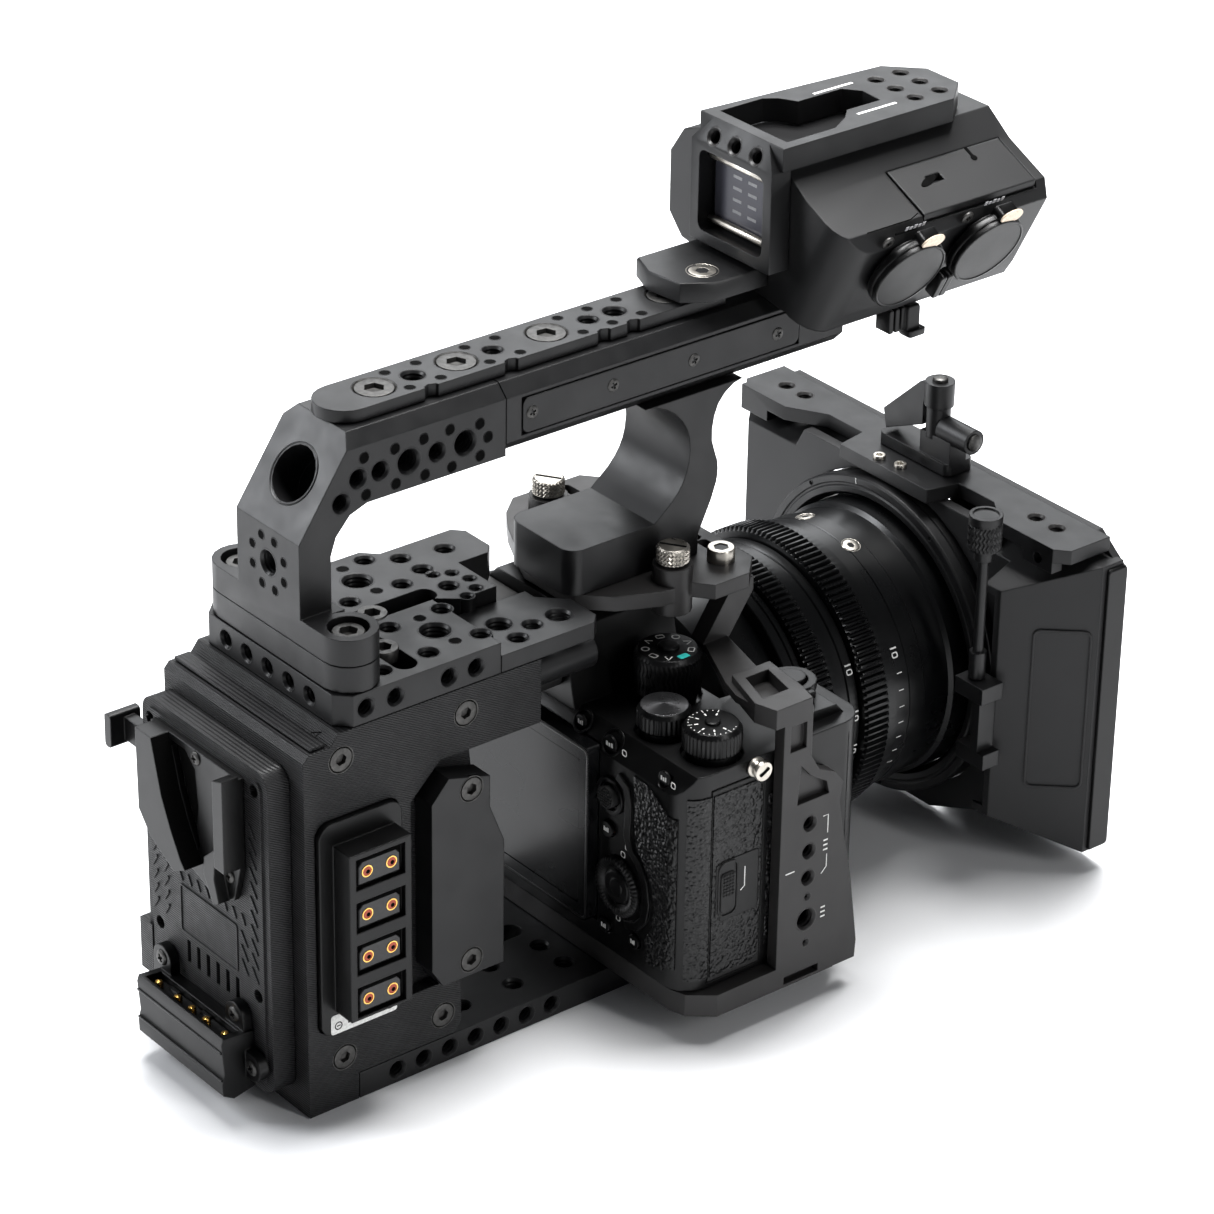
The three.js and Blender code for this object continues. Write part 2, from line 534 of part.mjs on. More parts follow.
const buttonSeat = (face) => Math.max(face, CAMERA_BACK) + 0.7;
const backButton = ([x, z, radius, face]) => bar('y', [x, z], radius, face, buttonSeat(face), 12);
const buttonWell = ([x, z, radius, face]) =>
  bar('y', [x, z], radius + GAP, CAMERA_BACK - 1, buttonSeat(face) + PRESS_ROOM, 12);

const shutterPlace = [46, 153.6];

function powerRing() {
  const ring = bar('z', shutterPlace, 7, GRIP_SHOULDER + 1, GRIP_SHOULDER + 3.4);
  const tab = block(shutterPlace[0] + 5, shutterPlace[0] + 9, 152.6, 154.6, GRIP_SHOULDER + 1,
    GRIP_SHOULDER + 3);
  return cut(join(ring, tab), bar('z', shutterPlace, 4.6, GRIP_SHOULDER, GRIP_SHOULDER + 4));
}

function shutterButton() {
  return bar('z', shutterPlace, 4.2, GRIP_SHOULDER + 0.4, GRIP_SHOULDER + 4.4, ROUND, 3.9);
}

function cardDoor() {
  const x = CAMERA_SIDE - 1.6;
  const panel = block(x, CAMERA_SIDE + 0.2, 110, 128, 17.4, 77.6);
  const latch = block(CAMERA_SIDE, CAMERA_SIDE + 0.8, 111.6, 118.2, 37.4, 54);
  return join(panel, latch);
}

function supportRod() {
  return bar('y', [22, 106], 5.2, 77.6, 100.4);
}

function strapLug() {
  const x = CAMERA_SIDE + GAP;
  const body = join(bar('x', [124.6, 80.6], 2.4, x, x + 4, 16),
    block(x + 1.6, x + 4, 121.6, 127.6, 78, 83));
  return cut(body, bar('x', [124.6, 80.6], 1.1, x + 1, x + 6, 8));
}

// ---- lens and matte box ----

function lensBarrel() {
  return turned([[24, 141.3], [30, 141.3], [36, 152], [36, 171], [40.4, 171], [40.4, 176.6],
      [39, 176.6], [39, 187.2], [41, 187.2], [41, 193.6], [40, 193.6], [40, 206.4], [41.6, 206.4],
      [41.6, 218], [40.8, 219], [40.8, 228], [42, 229], [42, 243], [38, 243], [34, 222], [24, 218]]);
}

function gearRing(radius, y0, y1, inner, teeth) {
  const ring = turned([[inner, y0], [radius - 1.3, y0], [radius - 1.3, y1], [inner, y1]]);
  const gear = ribs(teeth, (a) => {
    const tooth = new THREE.BoxGeometry(1.6, y1 - y0 - 2.6, 1.9);
    tooth.translate(radius - 0.8, (y0 + y1) / 2, 0).rotateY(a).translate(LENS_X, 0, LENS_Z);
    return solid(tooth);
  });
  return join(ring, gear);
}

function lensGlass() {
  return turned([[0, 226.6], [33.9, 222.6], [33.9, 226], [20, 230], [0, 231]]);
}

function adapterRing() {
  return turned([[42.4, 236], [44, 233.4], [48.9, 233.4], [49.4, 234], [49.4, 237], [48.7, 238],
    [48.7, 245.4], [42.4, 245.4]]);
}

const hoodRear = { half: 57, low: 18, high: 92 };
const hoodFront = { half: 76, low: 7, high: 101 };
const wallY = 240.4;             // rear face of the wall round the adapter ring

function frustum(rear, front, y0, y1) {
  const corners = (size, y) => [[LENS_X - size.half, y, size.low], [LENS_X + size.half, y, size.low],
      [LENS_X + size.half, y, size.high], [LENS_X - size.half, y, size.high]];
  const points = [...corners(rear, y0), ...corners(front, y1)];
  const faces = [[0, 1, 2], [0, 2, 3], [4, 6, 5], [4, 7, 6], [0, 4, 5], [0, 5, 1], [1, 5, 6], [1, 6, 2],
      [2, 6, 7], [2, 7, 3], [3, 7, 4], [3, 4, 0]];
  const geometry = new THREE.BufferGeometry();
  geometry.setAttribute('position',
    new THREE.BufferAttribute(new Float32Array(faces.flat().flatMap((i) => points[i])), 3));
  const body = solid(geometry);
  return body.volume() > 0 ? body : solid(flipped(geometry));
}

const shrunk = (size, by) => ({ half: size.half - by, low: size.low + by, high: size.high - by });

// a flared hood: rear wall with the adapter ring's hole, four sloping walls and a straight rim
function matteBoxFrame() {
  const wall = 2.4;
  const wallFront = wallY + 3.4;
  const edge = LENS_X + hoodFront.half;
  const flare = frustum(hoodRear, hoodFront, 231, 252);
  const rim = block(LENS_X - hoodFront.half, edge, 251.9, 260, hoodFront.low, hoodFront.high);
  const lip = prism('y', [[-78, 3], [58, 3], [edge, 8], [edge, 99], [56, 106.8], [-76, 106.8], [-86, 99],
    [-86, 8]], 258.3, 260.9);
  const inside = frustum(shrunk(hoodRear, wall), shrunk(hoodFront, wall), 231, 252.1);
  const front = shrunk(hoodFront, wall);
  const mouth = block(LENS_X - front.half, LENS_X + front.half, 251, 262, front.low, front.high);
  const behindWall = block(-100, LENS_X + 50.4, 230, wallY, -1, 110);
  const ringHole = bar('y', [LENS_X, LENS_Z], 49.3, 230, 255, 32);
  const wallPlate = frustum(hoodRear, hoodFront, 231, 252)
    .intersect(block(-100, 100, wallY, wallFront, 0, 110));
  const chin = prism('y', [[-58, 24], [-56, 12], [-32, 2], [12.6, 2], [38, 12], [40, 24]], wallY, wallFront);
  const brow = prism('y', [[-58, 88], [40, 88], [30, 102.6], [-50, 102.6]], wallY, wallFront);
  const sideWalls = cut(flare, inside, behindWall);
  return cut(join(sideWalls, wallPlate, chin, brow, cut(join(rim, lip), mouth)), ringHole);
}

function matteTopBracket() {
  const z0 = 103;
  const z1 = 107.4;
  const outline = [[-80, 258], [-80, 243], [-76, 239.5], [-58, 239.5], [-46, 246.5], [-31, 246.5],
      [-29, 236], [9, 236], [11, 246.5], [26, 246.5], [36, 239.5], [58, 239.5], [62, 243], [62, 258]];
  const body = prism('z', outline, z0, z1);
  const lugs = [[46, 58], [-78, -66]].map(([x0, x1]) => block(x0, x1, 239.5, 243.5, 99.5, z1));
  const holes = [-69, -60.5, 40.5, 49].map((x) => tapDown(x, 249.6, 2.7, z0 - 1, z1 + 1));
  const lugHole = bar('y', [52, 102.4], 1.8, 238, 245, HOLE_ROUND);
  const foot = [[-76, -70], [50, 56]].map(([x0, x1]) => block(x0, x1, 253, 258, 101.3, z0 + 0.5));
  return cut(join(body, lugs, foot), holes, lugHole);
}

function topClamp() {
  const base = prism('z', roundedOutline(-23, 7, 245.5, 256, 2), 107.7, 111.4);
  const post = block(-5.8, 7, 246.2, 252.8, 111, 118.4);
  const barrel = bar('x', [249.5, 120.4], 3.8, 1, 13.4, 16);
  const pillar = bar('z', [-2, 249.5], 3.6, 117, 126.6, 16);
  return cut(join(base, post, barrel, pillar), bar('x', [249.5, 120.4], 1.9, 11, 14, HOLE_ROUND));
}

function camLever() {
  const hub = bar('z', [-2, 249.5], 4.4, 126.9, 134.4, 18);
  const arm = prism('y', [[-23, 118.4], [-21.6, 112.4], [-6.2, 119.4], [-6.2, 126.9], [-3, 126.9],
    [-3, 133.8], [-8, 132.6]], 247.2, 251.8);
  return cut(join(hub, arm), bar('z', [-2, 249.5], 2, 133.4, 135, HOLE_ROUND));
}

function sideLockScrew() {
  const [x, y] = [43.6, 226.6];
  const head = bar('z', [x, y], 4.6, 106, 116.4, ROUND);
  const rim = cut(bar('z', [x, y], 4.9, 114.6, 116.8, ROUND), bar('z', [x, y], 3.8, 116, 117, ROUND));
  const neck = bar('z', [x, y], 2.8, 102.5, 106.2, 16);
  const shaft = bar('z', [x, y], 1.6, 66, 103, 12);
  const collar = bar('z', [x, y], 2.5, 64.5, 73, 16);
  return join(head, rim, neck, shaft, collar);
}

function lockBracket() {
  const base = block(39, 50.5, 222.6, 230.6, 59, 64.2);
  const stem = block(44.5, 47.8, 224.5, 230.6, 41, 60);
  const foot = block(39, 50.5, 224.5, 230.6, 37, 42);
  return cut(join(base, stem, foot), bar('z', [43.6, 226.6], 1.7, 61, 66, HOLE_ROUND));
}

// ---- audio unit ----

function audioBody() {
  const outline = [[-29.5, 199], [-29.5, 217], [-24, 225], [-17, 227.6], [18, 227.6], [27, 221],
    [41.6, 214.2], [43, 208.6], [31.2, 185.8], [28, 181], [20, 186], [-24, 193]];
  const body = prism('y', outline, 169, 243);
  const cover = prism('y', [[26, 222.4], [42.6, 214.8], [42, 211.8], [26, 219.4]], 198, 239.6);
  const round = 11;
  const arc = Array.from({ length: 7 }, (_, i) => (i * Math.PI) / 12)
    .map((a) => [round * (Math.cos(a) - 1), 169 + round * (1 - Math.sin(a))]);
  const rearRight = prism('z', [...arc, [-round, 167], [4, 167], [4, 169 + round]], -40, 40)
    .rotate([0, 27.4, 0]).translate([37.1, 0, 197.2]);
  return cut(body, cover, rearRight);
}

// frame of the connector face: it leans out to the right and looks slightly down
const connectorTilt = Math.atan2(-0.46, 0.89);

function connectorBar(y, radius, from, to, segments = ROUND) {
  const shape = new THREE.CylinderGeometry(radius, radius, to - from, segments);
  shape.translate(0, (from + to) / 2, 0).rotateZ(-Math.PI / 2).rotateY(-connectorTilt);
  shape.translate(39.1, y, 201.1);
  return solid(shape);
}

function audioConnectorCap(y) {
  return join(connectorBar(y, 11.6, 2.4, 5.2), connectorBar(y, 10.2, 0.5, 2.6));
}

const audioHoleX = [-4.5, 4.1, 12.9];

// a square frame round the audio unit's screen, with a windowed plate over the top
function audioCage() {
  const top = 235;
  const section = [[-12.5, 199], [21, 199], [21, 228], [16, top], [-7, top], [-12.5, 228]];
  const plate = prism('z', [[-12.5, 165], [22, 165], [22, 226], [14, 235], [1, 235], [-8, 226]], 228.2, top);
  const window = prism('z', [[-9, 169], [18.6, 169], [18.6, 186], [14.6, 193], [10.8, 197], [10.8, 209],
    [3, 209.6], [-1.6, 206], [-1.6, 190.4], [-6.6, 187.6], [-9, 184]], 227, top + 1);
  const frame = prism('y', section, 162, 168.7);
  const opening = prism('y', roundedOutline(-9, 17.6, 202.4, 226, 2.5), 161, 170);
  const slope = prism('x', [[161, 225.6], [161, top + 1], [165.6, top + 1]], -15, 29);
  const holeRow = audioHoleX.map((x) => bar('y', [x, 230.4], 2.6, 160, 167, HOLE_ROUND));
  const topHoles = [218, 227].flatMap((y) => [-1, 7, 15].map((x) => tapDown(x, y, 2.5, 227, top + 1)));
  return cut(join(cut(plate, window), frame), opening, slope, holeRow, topHoles);
}

function audioBracket() {
  const plate = prism('z', [[-13, 144], [-4, 140.5], [8, 142], [13, 150], [13, 168.4], [-13, 168.4]],
    RAIL_TOP + 0.8, 197.2);
  const screw = bar('z', [-5, 150.6], 4.4, 197, 198.2, 20);
  const railPocket = block(-10.5, 10.5, 139, 158.5, RAIL_TOP, RAIL_TOP + 1);
  return cut(join(plate, screw), railPocket);
}

function audioScreen() {
  return prism('y', roundedOutline(-8.7, 17.3, 202.7, 225.7, 2.2), 167.2, 168.7);
}

function audioCover() {
  const body = prism('y', [[26.3, 221.7], [41.9, 214.6], [41.6, 212.6], [26.3, 219.9]], 198.4, 239.2);
  return cut(body, block(31, 33.5, 208, 213, 217.5, 221));
}

add('base_plate', basePlate(), 'anodised');
add('rear_housing', rearHousing(), 'polymer');
add('rear_cover_trim', rearCoverTrim(), 'polymer');
add('battery_plate', batteryPlate(), 'polymer');
add('battery_receiver', batteryReceiver(), 'shell');
add('battery_release_lever', batteryReleaseLever(), 'shell');
add('contact_block', contactBlock(), 'shell');
add('contact_pin_strip', contactPinStrip(), 'gold');
add('power_outlet_block', powerOutletBlock(), 'shell');
add('side_cover_plate', sideCoverPlate(), 'anodised');
add('top_plate_rear', topPlateRear(), 'anodised');
add('top_plate_front', topPlateFront(), 'anodised');
add('handle_base_lower', handleBaseLower(), 'anodised');
add('handle_rear_block', handleRearBlock(), 'anodised');
add('handle_grip', handleGrip(), 'anodised');
add('handle_side_panel_right', handleSidePanel(1), 'anodised');
add('handle_side_panel_left', handleSidePanel(-1), 'anodised');
add('handle_top_rail', handleTopRail(), 'anodised');
add('handle_front_leg', handleFrontLeg(), 'anodised');
add('cage_top_plate', cageTopPlate(), 'anodised');
add('thumb_screw_right', thumbScrew(...thumbPlaces[0]), 'steel');
add('thumb_screw_left', thumbScrew(...thumbPlaces[1]), 'steel');
add('camera_cage', cameraCage(), 'anodised');
add('camera_body', cameraBody(), 'shell');
add('rear_monitor', rearMonitor(), 'glass');
add('eyecup', eyecup(), 'rubber');
add('mode_dial', dial(23, 128.4, 9.4, SHOULDER - 1.7, 97.4, 18), 'shell');
add('rear_dial', dial(38.2, 114.8, 7.6, SHOULDER - 1.7, 91, 14), 'anodised');
add('exposure_dial', dial(55.2, 117.6, 8.2, SHOULDER - 1.7, 92, 18), 'shell');
add('control_wheel', controlWheel(), 'shell');
for (const [name, place] of Object.entries(backControls)) add(name, backButton(place), 'shell');
add('shutter_button', shutterButton(), 'steel');
add('power_ring', powerRing(), 'shell');
add('card_door', cardDoor(), 'rubber');
add('support_rod', supportRod(), 'anodised');
add('strap_lug', strapLug(), 'steel');
add('lens_barrel', lensBarrel(), 'anodised');
add('focus_ring', gearRing(44.2, 194, 206, 41.4, 36), 'anodised');
add('iris_ring', gearRing(43.2, 177, 186.8, 40.8, 36), 'anodised');
add('lens_glass', lensGlass(), 'glass');
add('adapter_ring', adapterRing(), 'anodised');
add('matte_box_frame', matteBoxFrame(), 'polymer');
add('matte_top_bracket', matteTopBracket(), 'anodised');
add('top_clamp', topClamp(), 'anodised');
add('cam_lever', camLever(), 'anodised');
add('side_lock_screw', sideLockScrew(), 'anodised');
add('lock_bracket', lockBracket(), 'anodised');
add('audio_body', audioBody(), 'shell');
add('audio_connector_rear', audioConnectorCap(192.6), 'cap');
add('audio_connector_front', audioConnectorCap(221.2), 'cap');
add('audio_cage', audioCage(), 'anodised');
add('audio_bracket', audioBracket(), 'anodised');
add('audio_screen', audioScreen(), 'glass');
add('audio_cover', audioCover(), 'shell');

rig.position.set(0, -ORIGIN_Y, 0);

export default rig;
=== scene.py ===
"""Looks of the cinema camera rig: materials, fasteners, threads, knurls, trim, camera and light."""

import json
import math

import bmesh
import bpy
from mathutils import Matrix, Vector


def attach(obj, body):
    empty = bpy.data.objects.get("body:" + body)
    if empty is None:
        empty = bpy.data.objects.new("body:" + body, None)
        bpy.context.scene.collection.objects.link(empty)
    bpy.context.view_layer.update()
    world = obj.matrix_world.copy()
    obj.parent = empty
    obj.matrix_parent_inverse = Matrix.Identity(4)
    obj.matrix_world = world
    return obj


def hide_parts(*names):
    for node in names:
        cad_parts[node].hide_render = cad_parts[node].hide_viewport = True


MM = 0.001
ORIGIN_Y = 125.0          # the CAD's origin lies this far in front of the housing's rear face

HALF_WIDTH = 32.0         # housing and plates
TOP_PLATE = 124.0
LOWER_LEVEL = 120.0
HANDLE_SIDE = 14.0
RAIL_TOP = 190.8
EYE = (859.0, -571.5, 693.8)         # where the camera stands
CAMERA_BACK = 101.0
CAMERA_SIDE = 65.0
CAGE_SIDE = 69.5
MODE_DIAL = (23.0, 128.4, 97.4)      # middle and top of each dial
REAR_DIAL = (38.2, 114.8, 91.0)
EXPOSURE_DIAL = (55.2, 117.6, 92.0)
DIAL_BASE = 82.0
RING_FACE = 233.38        # rear face of the lens's adapter ring
HOLE_RING = 47.9          # radius of the small holes and the tick on that face
LENS = (-10.0, 53.0)      # x and z of the lens axis
COVER_FACE = 35.4         # outer face of the side cover plate
CORNER = (57.0, 109.0, 8.0)          # centre x and y and radius of the camera body's rear corner
AUDIO_TOP = 235.0
AUDIO_SIDE = ((0.89, 0, -0.46), (0.46, 0, 0.89))   # the leaning face that carries the connectors
AUDIO_TOP_HOLES = (-1, 7, 15)
AUDIO_BEVEL_HOLES = (-4.5, 4.1, 12.9)
LENS_SCREWS = ((215.6, 1.82, 41.6), (214.5, 1.30, 41.6))   # y, angle and radius
CONTACT_Y = (13.8, 21.6)             # the two contacts of each power outlet
WELL_FLOOR = 39.02                   # x of the outlets' recessed faces
LABEL_FACE = 33.73                   # x of the blank label's face
JOYSTICK = (33.0, 64.8)              # x and z
STRAP_LUG = (124.6, 80.6)            # y and z
HOOD_PANEL = (17.0, 52.0, 54.5)      # width, height and middle height of the hood's raised panel
BUTTON_MARKS = {                     # x, z, y of the face and width of the mark
    "c1_button": (17.5, 80.3, 102.4, 2.4),
    "af_button": (30.8, 79.4, 102.0, 3.2),
    "lock_button": (53.9, 79.3, 102.1, 2.6),
    "function_button": (32.4, 54.1, 100.0, 2.4),
    "playback_button": (31.8, 22.8, 100.1, 2.2),
    "delete_button": (44.6, 23.7, 100.1, 2.0),
}

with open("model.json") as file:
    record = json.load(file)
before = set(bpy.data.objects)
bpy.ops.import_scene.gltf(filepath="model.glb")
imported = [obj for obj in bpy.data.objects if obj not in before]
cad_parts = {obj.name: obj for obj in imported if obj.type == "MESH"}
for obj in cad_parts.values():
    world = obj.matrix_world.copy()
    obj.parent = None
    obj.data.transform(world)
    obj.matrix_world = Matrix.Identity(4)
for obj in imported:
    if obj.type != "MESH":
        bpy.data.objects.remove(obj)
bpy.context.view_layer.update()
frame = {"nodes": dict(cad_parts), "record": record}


# ---- places and shapes ----

RIGHT = ((1, 0, 0), (0, 0, 1))
LEFT = ((-1, 0, 0), (0, 0, 1))
BACK = ((0, -1, 0), (0, 0, 1))
FRONT = ((0, 1, 0), (0, 0, 1))
TOP = ((0, 0, 1), (0, 1, 0))
BELOW = ((0, 0, -1), (0, 1, 0))


def place(face, x, y, z, turn=0.0):
    """A spot on the rig in millimetres: its local x and y lie across the face and its local z points out."""
    out = Vector(face[0]).normalized()
    up = (Vector(face[1]) - out * Vector(face[1]).dot(out)).normalized()
    across = up.cross(out)
    basis = Matrix((across, up, out)).transposed().to_4x4() @ Matrix.Rotation(turn, 4, "Z")
    return Matrix.Translation(Vector((x, y - ORIGIN_Y, z)) * MM) @ basis @ Matrix.Scale(MM, 4)


def polar(radius, angle):
    return radius * math.cos(angle), radius * math.sin(angle)


def moved(at, x, y, z=0.0):
    """A place shifted across and out of its own face."""
    return at @ Matrix.Translation((x, y, z))


def circle(radius, count=32):
    """Points of a circle, anticlockwise."""
    return [polar(radius, i * math.tau / count) for i in range(count)]


def rounded(width, height, corner, steps=5):
    """Points of a rectangle with round corners, anticlockwise."""
    points = []
    for index, (sx, sy) in enumerate(((1, 1), (-1, 1), (-1, -1), (1, -1))):
        for step in range(steps + 1):
            x, y = polar(corner, (index + step / steps) * math.pi / 2)
            points.append((sx * (width / 2 - corner) + x, sy * (height / 2 - corner) + y))
    return points


def hexagon_radius(angle, flat):
    """How far a hexagon's edge is from its middle, in a direction."""
    step = math.pi / 3
    return flat / math.cos((angle % step) - step / 2)


def cross_radius(angle, reach, half):
    """How far a cross-shaped recess reaches from its middle, in a direction."""
    folded = abs(((angle + math.pi / 4) % (math.pi / 2)) - math.pi / 4)
    return min(reach, half / max(math.sin(folded), half / reach))


class Piece:
    """A visible piece that is drawn shape by shape, in millimetres, and then rides on a CAD body."""

    def __init__(self, name):
        self.name = name
        self.shape = bmesh.new()

    def rings(self, at, rings, loop=False):
        """Skins a row of outlines, each a list of (x, y, z), and closes the ends or joins them in a loop."""
        rows = [[self.shape.verts.new(at @ Vector(p)) for p in ring] for ring in rings]
        pairs = list(zip(rows, rows[1:]))
        if loop:
            pairs.append((rows[-1], rows[0]))
        for low, high in pairs:
            for i in range(len(low)):
                j = (i + 1) % len(low)
                self.shape.faces.new((low[i], low[j], high[j], high[i]))
        if not loop:
            self.shape.faces.new(rows[0][::-1])
            self.shape.faces.new(rows[-1])

    def hoops(self, profile, count):
        return [[(x, y, h) for x, y in circle(r, count)] for r, h in profile]

    def turned(self, at, profile, count=32):
        """Turns (radius, height) pairs about the place's own z and closes both ends."""
        self.rings(at, self.hoops(profile, count))

    def ring(self, at, profile, count=32):
        """Turns a closed (radius, height) outline into a hoop."""
        self.rings(at, self.hoops(profile, count), loop=True)

    def slab(self, at, outline, low, high, edge=0.0):
        """Pushes a flat outline out of the face, with its top edge broken by a small chamfer."""
        if edge <= 0:
            self.rings(at, [[(x, y, h) for x, y in outline] for h in (low, high)])
            return
        cx = sum(p[0] for p in outline) / len(outline)
        cy = sum(p[1] for p in outline) / len(outline)
        reach = max(math.hypot(x - cx, y - cy) for x, y in outline)
        shrink = 1 - edge / reach
        top = [(cx + (x - cx) * shrink, cy + (y - cy) * shrink) for x, y in outline]
        self.rings(at, [
            [(x, y, low) for x, y in outline],
            [(x, y, high - edge) for x, y in outline],
            [(x, y, high) for x, y in top],
        ])

    def box(self, at, x0, x1, y0, y1, low, high):
        self.slab(at, [(x0, y0), (x1, y0), (x1, y1), (x0, y1)], low, high)

    def frame(self, at, outline, inner, low, high):
        """A raised border between two outlines with equal numbers of points."""
        self.rings(at, [
            [(x, y, low) for x, y in outline],
            [(x, y, high) for x, y in outline],
            [(x, y, high) for x, y in inner],
            [(x, y, low) for x, y in inner],
        ], loop=True)

    def ribbed(self, at, profile, teeth, across=2, twist=0.0):
        """A toothed sleeve of (root, tip, height) rows, or (radius, height) where a row is plain.

        A twist shifts every other row for a diamond knurl.
        """
        rows = []
        for index, (*radii, height) in enumerate(profile):
            shift = twist * (index % 2) * math.tau / teeth
            row = []
            for i in range(teeth * across):
                radius = radii[-1] if (i % across) * 2 >= across else radii[0]
                row.append((*polar(radius, i * math.tau / (teeth * across) + shift), height))
            rows.append(row)
        self.rings(at, rows)

    def strip(self, at, points, width, low, high):
        """A raised band of constant width along a line of points."""
        left, right = [], []
        for i, point in enumerate(points):
            before, after = points[max(i - 1, 0)], points[min(i + 1, len(points) - 1)]
            way = Vector((after[0] - before[0], after[1] - before[1])).normalized() * width / 2
            left.append((point[0] - way.y, point[1] + way.x))
            right.append((point[0] + way.y, point[1] - way.x))
        self.slab(at, right + left[::-1], low, high)

    def head(self, at, profile, recess, depth, count=36):
        """A screw head: (radius, height) pairs from below up to its rim, then a shaped recess."""
        angles = [i * math.tau / count for i in range(count)]
        top = profile[-1][1]
        mouth = [polar(recess(a), a) for a in angles]
        floor_ring = [(x * 0.96, y * 0.96, top - depth) for x, y in mouth]
        self.rings(at, self.hoops(profile, count) + [[(x, y, top) for x, y in mouth], floor_ring])

    def done(self, look, body="rig", slot=None, smooth=35.0, stand_in=None):
        """Ends the piece: its look, the body it rides and any CAD node it stands for. Its record slot is not
        used.
        """
        mesh = bpy.data.meshes.new(self.name)
        bmesh.ops.recalc_face_normals(self.shape, faces=self.shape.faces)
        self.shape.to_mesh(mesh)
        self.shape.free()
        mesh.materials.append(look)
        thing = added(self.name, mesh)
        soften(thing, smooth)
        slot = slot or SLOT_OF[look.name]
        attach(thing, body)
        if stand_in:
            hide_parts(stand_in)


def added(name, data):
    """A new object in the scene."""
    thing = bpy.data.objects.new(name, data)
    bpy.context.scene.collection.objects.link(thing)
    return thing


def soften(thing, angle):
    """Smooth shading that stays crisp at edges sharper than the angle."""
    for face in thing.data.polygons:
        face.use_smooth = True
    split = thing.modifiers.new("crisp_edges", "EDGE_SPLIT")
    split.split_angle = math.radians(angle)


# ---- materials ----


class Finish:
    """A node-based material with a few ready-made kinds of fine detail."""

    def __init__(self, name, colour, roughness, metallic=0.0, ior=1.5, edges=None, wear=None):
        self.material = bpy.data.materials.new(name)
        self.material.use_nodes = True
        self.nodes = self.material.node_tree.nodes
        self.links = self.material.node_tree.links
        self.shader = self.nodes["Principled BSDF"]
        self.shader.inputs["Base Color"].default_value = (*colour, 1)
        self.shader.inputs["Roughness"].default_value = roughness
        self.shader.inputs["Metallic"].default_value = metallic
        self.shader.inputs["IOR"].default_value = ior
        self.colour = colour
        self.roughness = roughness
        self.where = self.nodes.new("ShaderNodeTexCoord").outputs["Object"]
        self.normal = None
        if edges:
            self.round_edges(edges)
        if wear:
            self.vary_roughness(*wear)

    def node(self, kind, **values):
        made = self.nodes.new(kind)
        for name, value in values.items():
            if name in made.inputs:
                made.inputs[name].default_value = value
            else:
                setattr(made, name, value)
        return made

    def noise(self, size_mm, detail=3.0, stretch=(1, 1, 1)):
        """A noise value whose blotches are about this many millimetres across."""
        mapping = self.node("ShaderNodeMapping", Scale=stretch)
        self.links.new(self.where, mapping.inputs["Vector"])
        noise = self.node("ShaderNodeTexNoise", Scale=1000.0 / size_mm, Detail=detail)
        self.links.new(mapping.outputs["Vector"], noise.inputs["Vector"])
        return noise.outputs["Fac"]

    def ranged(self, value, low, high, start=0.3, end=0.7):
        node = self.node("ShaderNodeMapRange")
        for name, number in (("From Min", start), ("From Max", end), ("To Min", low), ("To Max", high)):
            node.inputs[name].default_value = number
        self.links.new(value, node.inputs["Value"])
        return node.outputs["Result"]

    def vary_roughness(self, size_mm, amount):
        value = self.ranged(self.noise(size_mm), self.roughness - amount, self.roughness + amount)
        self.links.new(value, self.shader.inputs["Roughness"])

    def vary_colour(self, size_mm, other):
        mix = self.node("ShaderNodeMix", data_type="RGBA")
        first, second = (socket for socket in mix.inputs if socket.type == "RGBA")
        first.default_value = (*self.colour, 1)
        second.default_value = (*other, 1)
        factor = self.ranged(self.noise(size_mm, 4.0), 0.0, 1.0, 0.35, 0.65)
        self.links.new(factor, mix.inputs[0])
        out = next(socket for socket in mix.outputs if socket.type == "RGBA")
        self.links.new(out, self.shader.inputs["Base Color"])

    def bump(self, value, height_mm, strength):
        bump = self.node("ShaderNodeBump", Strength=strength, Distance=height_mm * MM)
        self.links.new(value, bump.inputs["Height"])
        if self.normal:
            self.links.new(self.normal, bump.inputs["Normal"])
        self.normal = bump.outputs["Normal"]
        self.links.new(self.normal, self.shader.inputs["Normal"])

    def grain(self, size_mm, detail, height_mm, strength):
        """Fine bumps about this many millimetres across."""
        self.bump(self.noise(size_mm, detail), height_mm, strength)

    def round_edges(self, radius_mm):
        """Catches light along edges as a small machined or moulded radius does."""
        bevel = self.node("ShaderNodeBevel", samples=4, Radius=radius_mm * MM)
        self.normal = bevel.outputs["Normal"]
        self.links.new(self.normal, self.shader.inputs["Normal"])

    def stripes(self, pitch_mm, direction):
        """Parallel lines this far apart, across the direction given."""
        length = Vector(direction).length
        dot = self.node("ShaderNodeVectorMath", operation="DOT_PRODUCT")
        dot.inputs[1].default_value = [c / length * math.tau / (pitch_mm * MM) for c in direction]
        self.links.new(self.where, dot.inputs[0])
        wave = self.node("ShaderNodeMath", operation="SINE")
        self.links.new(dot.outputs["Value"], wave.inputs[0])
        return wave.outputs[0]

    def set(self, **values):
        for name, value in values.items():
            self.shader.inputs[name.replace("_", " ")].default_value = value


def anodised(name="anodised_black", colour=(0.0065, 0.0065, 0.007), roughness=0.40):
    """Bead-blasted, black-anodised aluminium."""
    look = Finish(name, colour, roughness, ior=1.44, edges=0.45, wear=(9.0, 0.05))
    look.vary_colour(30.0, tuple(c * 1.25 for c in colour))
    look.grain(0.35, 2.0, 0.012, 0.5)
    return look.material


